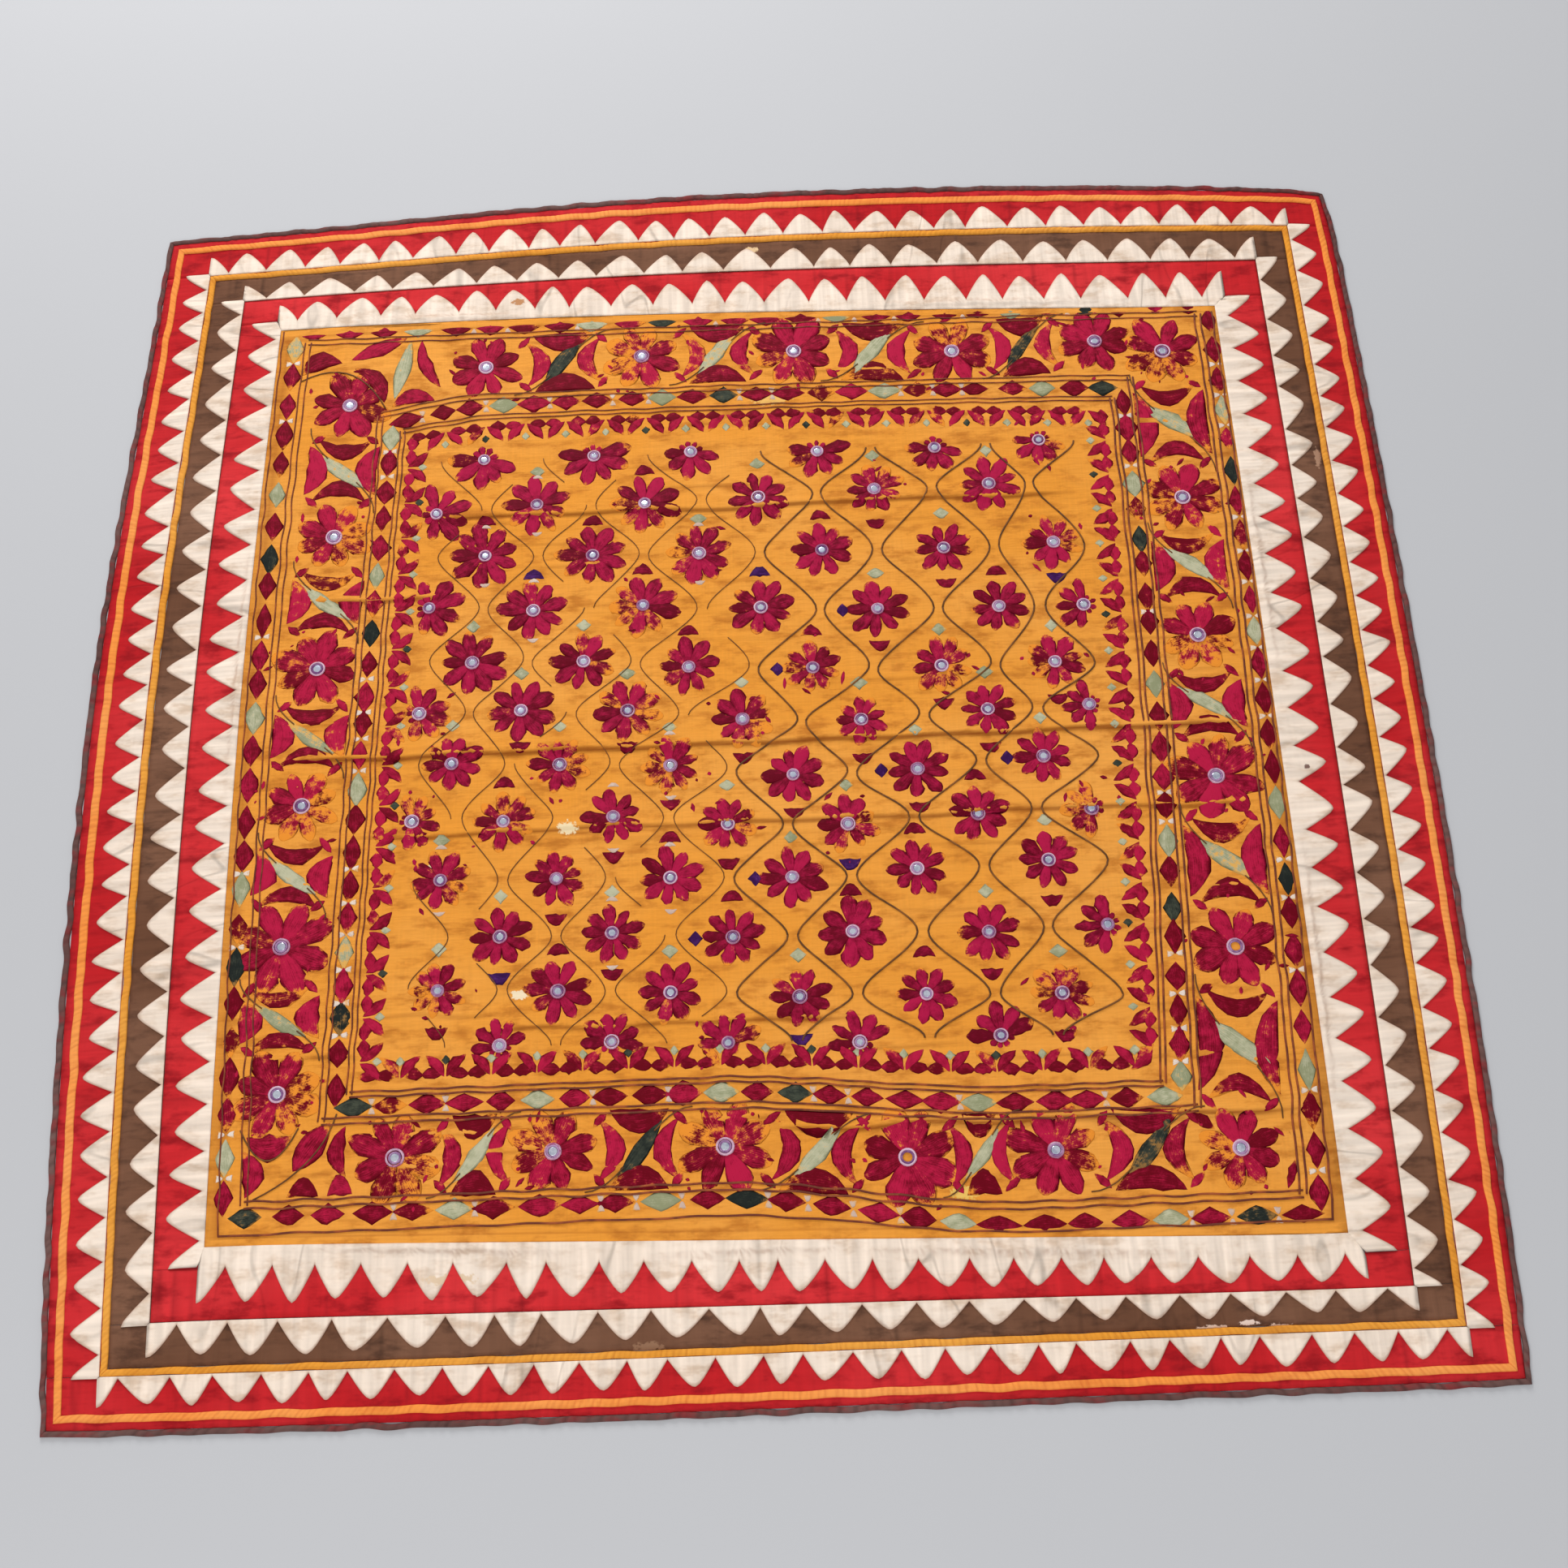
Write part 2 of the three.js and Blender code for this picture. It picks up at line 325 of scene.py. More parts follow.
@dataclass
class Loft:
    """A closed mesh of bodies, each a stack of rings that ends in two poles or meets its first ring."""

    name: str
    held: dict[str, list[Array]] = field(default_factory=dict)
    count: int = 0

    def add(self, rings: Array, poles: Array | None, uv: Array,
            values: dict[str, Array] | None = None) -> None:
        """Add bodies of one shape.

        Point (ring i, place j) joins its neighbours in a grid that is closed round the ring; the first and
        last rings meet the poles in fans. A body that comes out inside out has its faces turned.

        Args:
            rings: bodies by rings by places by 3.
            poles: bodies by 2 by 3, the start and end points; none for a body that closes on itself.
            uv: bodies by rings by places by 2.
            values: named point values, bodies by rings by places.
        """
        bodies, levels, places = rings.shape[:3]
        level = np.arange(levels if poles is None else levels - 1)
        level, place = np.meshgrid(level, np.arange(places), indexing="ij")
        here, above, beside = level * places, (level + 1) % levels * places, (place + 1) % places
        grid = join(here + place, here + beside, above + beside, above + place).reshape(-1, 4)
        turn = np.arange(places)
        following = (turn + 1) % places
        last, start = (levels - 1) * places, levels * places
        fan = join(np.full(places, start), following, turn)
        end = join(np.full(places, start + 1), last + turn, last + following)
        fans = np.zeros((0, 3), int) if poles is None else np.concatenate((fan, end))
        held = {"points": rings, "map": uv, **(values or {})}
        for word, value in held.items():
            whole = value.reshape(bodies, levels * places, -1)
            if poles is not None:
                ends = poles if word == "points" else end_means(value)
                whole = np.concatenate((whole, ends.reshape(bodies, 2, -1)), 1)
            held[word] = whole
        flat = held["points"]
        shift = self.count + flat.shape[1] * np.arange(bodies)[:, None, None]
        inside_out = self.volume(flat, grid, fans) < 0.0
        for word, faces in (("quads", grid[None] + shift), ("triangles", fans[None] + shift)):
            faces[inside_out] = faces[inside_out][:, :, ::-1]
            held[word] = faces
        for word, value in held.items():
            self.held.setdefault(word, []).append(value.reshape(-1, value.shape[-1]))
        self.count += bodies * flat.shape[1]

    @staticmethod
    def volume(points: Array, quads: Array, triangles: Array) -> Array:
        """Signed volume of each body: a sixth of the sum of each triangle's triple product."""
        middle = points - points.mean(1, keepdims=True)
        faces = np.concatenate((triangles, quads[:, [0, 1, 2]], quads[:, [0, 2, 3]]))
        a, b, c = (middle[:, faces[:, i]] for i in range(3))
        return np.einsum("ijk,ijk->i", a, np.cross(b, c)) / 6.0

    def piece(self, finish: "Finish", slot: str, *nodes: str) -> Piece:
        """Blender object of the mesh, dressed, riding on the panel's body.

        Args:
            finish: gives the material.
            slot: name of a material slot; not used.
            nodes: CAD nodes that the piece stands for.

        Returns:
            The finished object.
        """
        held = {word: np.concatenate(parts) for word, parts in self.held.items()}
        points, uv, quads, triangles = (held.pop(word) for word in ("points", "map", "quads", "triangles"))
        loops = np.concatenate((quads.ravel(), triangles.ravel()))
        starts = np.concatenate((np.arange(len(quads)) * 4, quads.size + np.arange(len(triangles)) * 3))
        mesh = bpy.data.meshes.new(self.name)
        mesh.vertices.add(len(points))
        mesh.vertices.foreach_set("co", points.ravel())
        mesh.loops.add(len(loops))
        mesh.loops.foreach_set("vertex_index", loops.astype(np.int32))
        mesh.polygons.add(len(starts))
        mesh.polygons.foreach_set("loop_start", starts.astype(np.int32))
        mesh.update(calc_edges=True)
        mesh.uv_layers.new(name="UVMap").data.foreach_set("uv", uv[loops].ravel())
        for word, value in held.items():
            layer = mesh.attributes.new(word, "FLOAT", "POINT")
            layer.data.foreach_set("value", value.ravel().astype(np.float32))
        mesh.polygons.foreach_set("use_smooth", np.ones(len(starts), bool))
        mesh.update()
        mesh.materials.append(finish.material())
        made = stand(self.name, mesh)
        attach(made, "root")
        if nodes:
            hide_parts(*nodes)
        LOG.info("%s: %d faces", self.name, len(starts))
        return made


# Shader nodes and the effects that several finishes share

class Tree:
    """Short way to add and join the nodes of one shader tree."""

    def __init__(self, tree: bpy.types.NodeTree) -> None:
        """Keep the tree that nodes are added to."""
        self.tree = tree

    def add(self, kind: str, values: dict[str | int, Value] | None = None, **settings: object) -> Node:
        """Add a node by its type, without its ShaderNode start, with its sockets' values and its settings."""
        node = self.tree.nodes.new("ShaderNode" + kind)
        for word, value in settings.items():
            setattr(node, word, value)
        self.fill(node, values or {})
        return node

    def fill(self, node: Node, values: dict[str | int, Value]) -> None:
        """Put values into a node's sockets."""
        for word, value in values.items():
            self.put(node.inputs[word], value)

    def put(self, socket: Socket, value: Value) -> None:
        """Join a socket to another, or set its plain value; three values for a colour are a shade."""
        if isinstance(value, Socket):
            self.tree.links.new(value, socket)
        elif isinstance(value, tuple) and len(value) == 3 and socket.type == "RGBA":
            socket.default_value = (*linear(*value), 1.0)
        else:
            socket.default_value = value

    def math(self, sum_kind: str, first: Value, second: Value = 0.0, third: Value = 0.0) -> Socket:
        """Result of a Math node."""
        return self.add("Math", {0: first, 1: second, 2: third}, operation=sum_kind).outputs[0]

    def times(self, first: Value, second: Value) -> Socket:
        """Product of two values."""
        return self.math("MULTIPLY", first, second)

    def times_plus(self, first: Value, second: Value, rest: Value) -> Socket:
        """Product of two values, plus a rest."""
        return self.math("MULTIPLY_ADD", first, second, rest)

    def less(self, first: Value, second: Value) -> Socket:
        """First value less the second."""
        return self.math("SUBTRACT", first, second)

    def mix(self, share: Value, first: Value, second: Value, kind: str = "MIX") -> Socket:
        """Colour between two colours."""
        words = {0: share, 6: first, 7: second}
        return self.add("Mix", words, data_type="RGBA", blend_type=kind).outputs[2]

    def ramp(self, value: Value, low: Value, high: Value) -> Socket:
        """Smooth step of a value, from 0 at one limit to 1 at the other."""
        words = {"Value": value, "From Min": low, "From Max": high}
        return self.add("MapRange", words, interpolation_type="SMOOTHSTEP").outputs[0]

    def stretch(self, place: Socket, factors: tuple, shift: Value = (0.0, 0.0, 0.0)) -> Socket:
        """Place multiplied by a factor along each axis, then shifted."""
        words = {0: place, 1: factors, 2: shift}
        return self.add("VectorMath", words, operation="MULTIPLY_ADD").outputs[0]

    def noise(self, place: Socket, factors: tuple, detail: float = 3.0, rough: float = 0.55,
              shift: Value = (0.0, 0.0, 0.0)) -> Socket:
        """Noise over a place that is stretched along each axis and then shifted."""
        place = self.stretch(place, factors, shift)
        words = {"Vector": place, "Scale": 1.0, "Detail": detail, "Roughness": rough}
        return self.add("TexNoise", words).outputs[0]

    def group(self, name: str, values: dict[str, Value]) -> Sockets:
        """Outputs of a shared effect, placed with its own values."""
        return self.add("Group", values, node_tree=bpy.data.node_groups[name]).outputs

    def axes(self, place: Socket) -> Sockets:
        """Parts of a place along X, Y and Z."""
        return self.add("SeparateXYZ", {0: place}).outputs

    def attribute(self, word: str) -> Socket:
        """Point value of the piece."""
        return self.add("Attribute", attribute_name=word).outputs["Fac"]

    def place(self, kind: str = "Object") -> Socket:
        """Object coordinates, or those of the piece's own UV map."""
        return self.add("TexCoord").outputs[kind]


class Effect:
    """A shader node group that is built once and placed in each material with its own values."""

    def __init__(self, name: str, inputs: Words, outputs: Words) -> None:
        """Open a new group with the names of its inputs and outputs by their kinds."""
        group = bpy.data.node_groups.new(name, "ShaderNodeTree")
        for way, kinds in (("INPUT", inputs), ("OUTPUT", outputs)):
            for kind, words in kinds.items():
                for word in words:
                    group.interface.new_socket(name=word, in_out=way, socket_type=kind)
        self.tree = Tree(group)
        self.given = group.nodes.new("NodeGroupInput").outputs
        self.result = group.nodes.new("NodeGroupOutput").inputs

    def give(self, word: str, value: Socket) -> None:
        """Join one of the group's outputs."""
        self.tree.put(self.result[word], value)


FLOAT, COLOUR = "NodeSocketFloat", "NodeSocketColor"
WEAVE, DYE_AND_SHADE, FLOSS, SPOT = "plain_weave", "aged_dye_and_shade", "satin_floss", "ragged_spot"


def make_weave() -> None:
    """Plain weave: crossed sines of the thread pitch, thick and thin yarns, ribs across a strip and crinkles.

    Yarns, ribs and crinkles are noises that are drawn out along the cloth or across it; wrinkles are the thin
    lines where a noise that is drawn out across a strip passes its middle value. The tone rises and falls
    with the ribs and darkens along the wrinkles, as painted light and shade.
    """
    effect = Effect(WEAVE, {FLOAT: ("Threads", "Slub", "Rib", "Crinkle")}, {FLOAT: ("Tone", "Height")})
    tree, given = effect.tree, effect.given
    place, strip = tree.place(), tree.place("UV")
    axes = tree.axes(place)
    rate = tree.times(given["Threads"], TAU)
    warp, weft = (tree.math("SINE", tree.times(axes[axis], rate)) for axis in ("X", "Y"))
    cross = tree.times(warp, weft)
    yarn_across = tree.noise(place, (22.0, 520.0, 22.0), 2.0)
    yarn_along = tree.noise(place, (520.0, 22.0, 22.0), 2.0)
    yarns = tree.times_plus(yarn_across, 0.6, tree.times(yarn_along, 0.4))
    slub = tree.times(tree.less(yarns, 0.5), given["Slub"])
    rib = tree.times(tree.noise(strip, (135.0, 12.0, 1.0), 1.5), given["Rib"])
    creased = tree.noise(place, (11.0, 46.0, 11.0), 6.0, 0.62)
    off = tree.less(tree.noise(strip, (17.0, 5.0, 1.0), 1.5), 0.5)
    line = tree.ramp(tree.math("ABSOLUTE", off), 0.018, 0.0)
    some = tree.ramp(tree.noise(strip, (7.0, 5.0, 1.0), 1.0), 0.42, 0.62)
    wrinkle = tree.times(tree.times(line, some), given["Rib"])
    # Painted light and shade: the tone follows the ribs' height and darkens along the wrinkle lines.
    half_rib = tree.times_plus(given["Rib"], -0.5, rib)
    tone = tree.times_plus(half_rib, 0.085, tree.times_plus(cross, 0.06, 0.5))
    effect.give("Tone", tree.times_plus(wrinkle, -0.035, tree.math("ADD", tone, slub)))
    fine = tree.times_plus(cross, 0.3, tree.times(slub, 2.0))
    folded = tree.times_plus(wrinkle, -0.5, tree.times_plus(creased, given["Crinkle"], rib))
    effect.give("Height", tree.math("ADD", fine, folded))


def make_dye_and_shade() -> None:
    """Aged dye with painted shade: the colour drifts to a faded one in broad clouds, and to a soiled and
    shaded one in small patches drawn out across, which paint both dirt and wrinkle shade; the weave's tone,
    which holds painted light and shade, then multiplies it.
    """
    inputs = {COLOUR: ("Dye", "Faded", "Soiled"), FLOAT: ("Tone", "Fade", "Soil")}
    effect = Effect(DYE_AND_SHADE, inputs, {COLOUR: ("Color",)})
    tree, given = effect.tree, effect.given
    place = tree.place()
    cloud = tree.ramp(tree.noise(place, (4.0, 6.0, 4.0), 4.0), 0.35, 0.7)
    # Painted dirt and painted wrinkle shade: patches drawn out across, mixed towards the soiled colour.
    dirt_and_shade_speck = tree.ramp(tree.noise(place, (24.0, 56.0, 38.0), 5.0, 0.65), 0.46, 0.7)
    faded = tree.mix(tree.times(cloud, given["Fade"]), given["Dye"], given["Faded"])
    soiled = tree.mix(tree.times(dirt_and_shade_speck, given["Soil"]), faded, given["Soiled"])
    # Painted light and shade: the colour is multiplied by the weave's tone.
    light = tree.times_plus(given["Tone"], 0.7, 0.65)
    grey = tree.add("CombineColor", {0: light, 1: light, 2: light}).outputs[0]
    effect.give("Color", tree.mix(1.0, soiled, grey, "MULTIPLY"))


def make_floss() -> None:
    """Satin floss: streaks along the stitches, a given tone that holds painted sheen, painted shade along
    each patch's sides, and wear to the bare colour in flecks and along its edges.
    """
    inputs = {COLOUR: ("Dark", "Bright", "Bare"), FLOAT: ("Tone", "Wear")}
    effect = Effect(FLOSS, inputs, {COLOUR: ("Color",), FLOAT: ("Height", "Worn")})
    tree, given = effect.tree, effect.given
    place, stitch = tree.place(), tree.place("UV")
    axes = tree.axes(stitch)
    apart = tree.stretch(place, (9.0, 9.0, 0.0))
    streak = tree.noise(stitch, (26.0, 2.2, 1.0), 3.0, 0.6, apart)
    drawn = tree.less(streak, 0.5)
    side = tree.times(tree.math("ABSOLUTE", tree.less(axes["X"], 0.5)), 2.0)
    outer = tree.times(side, tree.ramp(axes["Y"], 0.25, 0.75))
    edge = tree.ramp(tree.math("MAXIMUM", outer, axes["Y"]), 0.66, 1.0)
    ragged = tree.noise(place, (120.0, 120.0, 120.0), 5.0, 0.7)
    bare = tree.times_plus(drawn, 0.38, tree.times_plus(edge, 0.26, ragged))
    limit = tree.times_plus(given["Wear"], -0.6, 0.95)
    worn = tree.ramp(bare, tree.less(limit, 0.13), tree.math("ADD", limit, 0.03))
    # The given tone, which holds painted sheen by the stitches' direction where it is drawn from that,
    # brightens or darkens the silk.
    shade = tree.times_plus(drawn, 1.6, given["Tone"])
    # Painted shade: darker along the sides of each patch, between neighbouring patches.
    shade = tree.times_plus(tree.ramp(side, 0.55, 1.0), -0.35, shade)
    shade = tree.times_plus(tree.less(ragged, 0.5), 2.0, shade)
    silk = tree.mix(tree.ramp(shade, 0.0, 1.0), given["Dark"], given["Bright"])
    effect.give("Color", tree.mix(worn, silk, given["Bare"]))
    effect.give("Height", tree.less(streak, tree.times(worn, 0.6)))
    effect.give("Worn", worn)


def make_spot() -> None:
    """Ragged spot: nearness to a place, drawn out across, less a noise, cut off at its edge."""
    effect = Effect(SPOT, {FLOAT: ("X", "Y", "Across", "Up")}, {FLOAT: ("Mask",)})
    tree, given = effect.tree, effect.given
    place = tree.place()
    axes = tree.axes(place)
    squares = []
    for axis, reach in (("X", "Across"), ("Y", "Up")):
        off = tree.math("DIVIDE", tree.less(axes[axis], given[axis]), given[reach])
        squares.append(tree.math("POWER", off, 2.0))
    apart = tree.math("SQRT", tree.math("ADD", *squares))
    torn = tree.less(tree.noise(place, (240.0, 240.0, 240.0), 4.0, 0.7), 0.5)
    effect.give("Mask", tree.ramp(tree.times_plus(torn, 2.6, apart), 1.0, 0.72))


# Finishes

@dataclass(frozen=True)
class Spot:
    """A stain or worn place, in plan millimetres: its middle, its reach across and up, and its colour."""

    x: float
    y: float
    across: float
    up: float
    colour: Shade


@dataclass(frozen=True)
class Finish:
    """A finish that makes its Blender material once."""

    name: str

    def material(self) -> bpy.types.Material:
        """Material of this finish, made at its first use."""
        title = "dressed_" + self.name
        found = bpy.data.materials.get(title)
        if found:
            return found
        made = bpy.data.materials.new(title)
        made.use_nodes = True
        tree = Tree(made.node_tree)
        self.dress(tree, made.node_tree.nodes["Principled BSDF"])
        return made

    def dress(self, tree: Tree, shader: Node) -> None:
        """Join the finish's colours and relief to the shader."""
        raise NotImplementedError

    @staticmethod
    def relief(tree: Tree, shader: Node, height: Socket, strength: float, distance: float) -> None:
        """Join a height to the shader's normal through a bump."""
        words = {"Height": height, "Strength": strength, "Distance": distance}
        tree.put(shader.inputs["Normal"], tree.add("Bump", words).outputs[0])


@dataclass(frozen=True)
class ClothFinish(Finish):
    """Woven and dyed cotton, faded in clouds, soiled in specks that also paint wrinkle shade, and painted
    with shade along its creases and edges.
    """

    dye: Shade
    faded: Shade
    # The soiled colour paints both dirt and wrinkle shade.
    soiled: Shade
    # The creased colour is that of the painted shade along creases, tucks, rims, pleat feet and pucker dips.
    creased: Shade
    threads: float = 620.0
    slub: float = 0.5
    fade: float = 0.5
    soil: float = 0.3
    rib: float = 0.0
    crinkle: float = 0.0
    bump: float = 0.35
    depth: float = 0.0006
    rough: float = 0.9
    shine: float = 0.15
    spots: tuple[Spot, ...] = ()

    def dress(self, tree: Tree, shader: Node) -> None:
        """Weave for the relief and the tone, which holds painted light and shade; aged dye with painted shade
        for the colour; painted crease shade from the piece's own values.
        """
        words = {"Threads": self.threads, "Slub": self.slub, "Rib": self.rib, "Crinkle": self.crinkle}
        weave = tree.group(WEAVE, words)
        words = {"Dye": self.dye, "Faded": self.faded, "Soiled": self.soiled, "Tone": weave["Tone"],
                 "Fade": self.fade, "Soil": self.soil}
        colour = tree.group(DYE_AND_SHADE, words)["Color"]
        # Painted shade: the piece's crease values mix the colour towards the creased colour.
        colour = tree.mix(tree.attribute("crease"), colour, self.creased)
        aside = PANEL.offset()
        for spot in self.spots:
            words = {"X": spot.x * MM + aside[0], "Y": spot.y * MM + aside[1],
                     "Across": spot.across * MM, "Up": spot.up * MM}
            colour = tree.mix(tree.group(SPOT, words)["Mask"], colour, spot.colour)
        tree.fill(shader, {"Base Color": colour, "Roughness": self.rough, "Specular IOR Level": self.shine})
        self.relief(tree, shader, weave["Height"], self.bump, self.depth)


@dataclass(frozen=True)
class FlossFinish(Finish):
    """Satin-stitched silk floss, darker or brighter by the stitches' direction as painted sheen, worn to its
    bare ground.
    """

    dark: Shade
    bright: Shade
    bare: Shade
    rough: float = 0.62
    worn_rough: float = 0.35
    shine: float = 0.06
    bump: float = 0.5
    depth: float = 0.0007

    def dress(self, tree: Tree, shader: Node) -> None:
        """Floss colour and streaks from the shared effect, with each patch's own tone, which holds painted
        sheen, and wear.
        """
        words = {"Dark": self.dark, "Bright": self.bright, "Bare": self.bare,
                 "Tone": tree.attribute("tone"), "Wear": tree.attribute("wear")}
        floss = tree.group(FLOSS, words)
        rough = tree.times_plus(floss["Worn"], self.worn_rough, self.rough)
        words = {"Base Color": floss["Color"], "Roughness": rough, "Specular IOR Level": self.shine}
        tree.fill(shader, words)
        self.relief(tree, shader, floss["Height"], self.bump, self.depth)


@dataclass(frozen=True)
class ThreadFinish(Finish):
    """Twisted sewing thread, uneven in colour along its length."""

    colour: Shade
    pale: Shade
    rough: float = 0.8
    bump: float = 0.4
    depth: float = 0.0004

    def dress(self, tree: Tree, shader: Node) -> None:
        """Two thread colours mixed by a noise over the cloth, and a twist along the thread."""
        cloud = tree.ramp(tree.noise(tree.place(), (60.0, 60.0, 60.0)), 0.4, 0.7)
        colour = tree.mix(cloud, self.colour, self.pale)
        tree.fill(shader, {"Base Color": colour, "Roughness": self.rough})
        twist = tree.noise(tree.place("UV"), (900.0, 3.0, 1.0), 1.0)
        self.relief(tree, shader, twist, self.bump, self.depth)


@dataclass(frozen=True)
class GlassFinish(Finish):
    """Old silvered mirror glass, a little blue and clouded."""

    silver: Shade
    tarnish: Shade
    rough: float = 0.14
    clouded: float = 0.25
    metal: float = 0.75

    def dress(self, tree: Tree, shader: Node) -> None:
        """Silver clouded by a noise, which also roughens it."""
        cloud = tree.ramp(tree.noise(tree.place(), (190.0, 190.0, 190.0)), 0.42, 0.68)
        colour = tree.mix(cloud, self.silver, self.tarnish)
        rough = tree.times_plus(cloud, self.clouded, self.rough)
        tree.fill(shader, {"Base Color": colour, "Roughness": rough, "Metallic": self.metal})


MUSTARD = ClothFinish(
    "mustard_cotton", (234, 151, 52), (242, 166, 76), (194, 116, 38), (140, 66, 16),
    fade=0.7, soil=0.9, slub=0.55, crinkle=20.0,
    spots=(
        Spot(170, -470, 16, 7, (236, 190, 96)), Spot(20, 402, 22, 7, (240, 186, 100)),
        Spot(-196, -92, 10, 7, (246, 222, 176)), Spot(-240, -262, 9, 5, (246, 224, 186)),
        Spot(-330, -130, 8, 5, (244, 216, 170)),
    ),
)
RED = ClothFinish(
    "red_cotton", (199, 33, 39), (226, 60, 63), (142, 13, 23), (104, 12, 20),
    fade=0.7, soil=0.8, slub=0.45, rib=5.0, crinkle=9.0,
)
DEEP_RED = replace(RED, name="deep_red_cotton", dye=(188, 26, 32), faded=(213, 50, 54))
BROWN = ClothFinish(
    "brown_cotton", (106, 69, 49), (136, 96, 74), (66, 42, 31), (46, 28, 21),
    fade=0.7, soil=0.7, rib=5.0, crinkle=9.0,
    spots=(
        Spot(5, 604, 10, 4, (232, 196, 150)), Spot(378, -600, 15, 3, (226, 196, 176)),
        Spot(412, -596, 9, 2.5, (232, 206, 190)), Spot(438, -601, 13, 3.5, (226, 196, 176)),
        Spot(-120, -596, 16, 5, (146, 108, 82)), Spot(597, 300, 4, 12, (170, 130, 104)),
    ),
)
CREAM = ClothFinish(
    "cream_cotton", (241, 221, 202), (247, 230, 213), (200, 168, 138), (190, 156, 134),
    fade=0.6, soil=0.65, slub=0.3, rib=10.0, crinkle=9.0,
    spots=(
        Spot(-254, 546, 8, 5, (196, 140, 96)), Spot(540, 180, 3, 4, (120, 92, 84)),
        Spot(536, -60, 3, 3, (130, 100, 90)), Spot(-300, -530, 26, 5, (228, 200, 168)),
    ),
)
PIPING = ClothFinish(
    "yellow_piping", (236, 156, 52), (244, 176, 84), (192, 112, 30), (168, 82, 22), soil=0.4,
)
STRIPE = ClothFinish(
    "orange_stripe", (248, 150, 66), (250, 172, 100), (214, 104, 40), (192, 62, 30), soil=0.4,
)
BINDING = ClothFinish(
    "dark_binding", (96, 66, 62), (128, 98, 92), (138, 46, 48), (52, 32, 30), fade=0.6, soil=0.85,
)
BARE_GROUND = (238, 146, 50)
MAGENTA = FlossFinish("magenta_floss", (102, 2, 26), (180, 24, 70), BARE_GROUND)
WINE = FlossFinish("wine_floss", (106, 2, 22), (186, 26, 66), BARE_GROUND)
PALE_GREEN = FlossFinish("pale_green_floss", (146, 148, 112), (194, 190, 158), (226, 172, 90))
DARK_GREEN = FlossFinish("dark_green_floss", (32, 37, 34), (74, 78, 64), (150, 110, 60))
PURPLE = FlossFinish("purple_floss", (54, 15, 70), (100, 48, 126), (170, 80, 90))
WHITE = FlossFinish("white_floss", (208, 178, 160), (238, 222, 208), (232, 176, 110))
LAVENDER = FlossFinish("lavender_floss", (166, 106, 140), (222, 186, 204), (168, 82, 124))
VIOLET = FlossFinish("violet_floss", (116, 68, 118), (182, 146, 182), (150, 60, 110))
BROWN_THREAD = ThreadFinish("brown_thread", (92, 54, 12), (136, 82, 22))
RUSSET_THREAD = ThreadFinish("russet_thread", (104, 40, 16), (164, 80, 30))
GLASS = GlassFinish("mirror_glass", (226, 230, 240), (176, 182, 200))


# The cloths

@dataclass(frozen=True)
class Fold:
    """A soft crease across the panel, in plan millimetres: its place, run, rise and half width."""

    y: float
    start: float
    end: float
    rise: float
    half: float


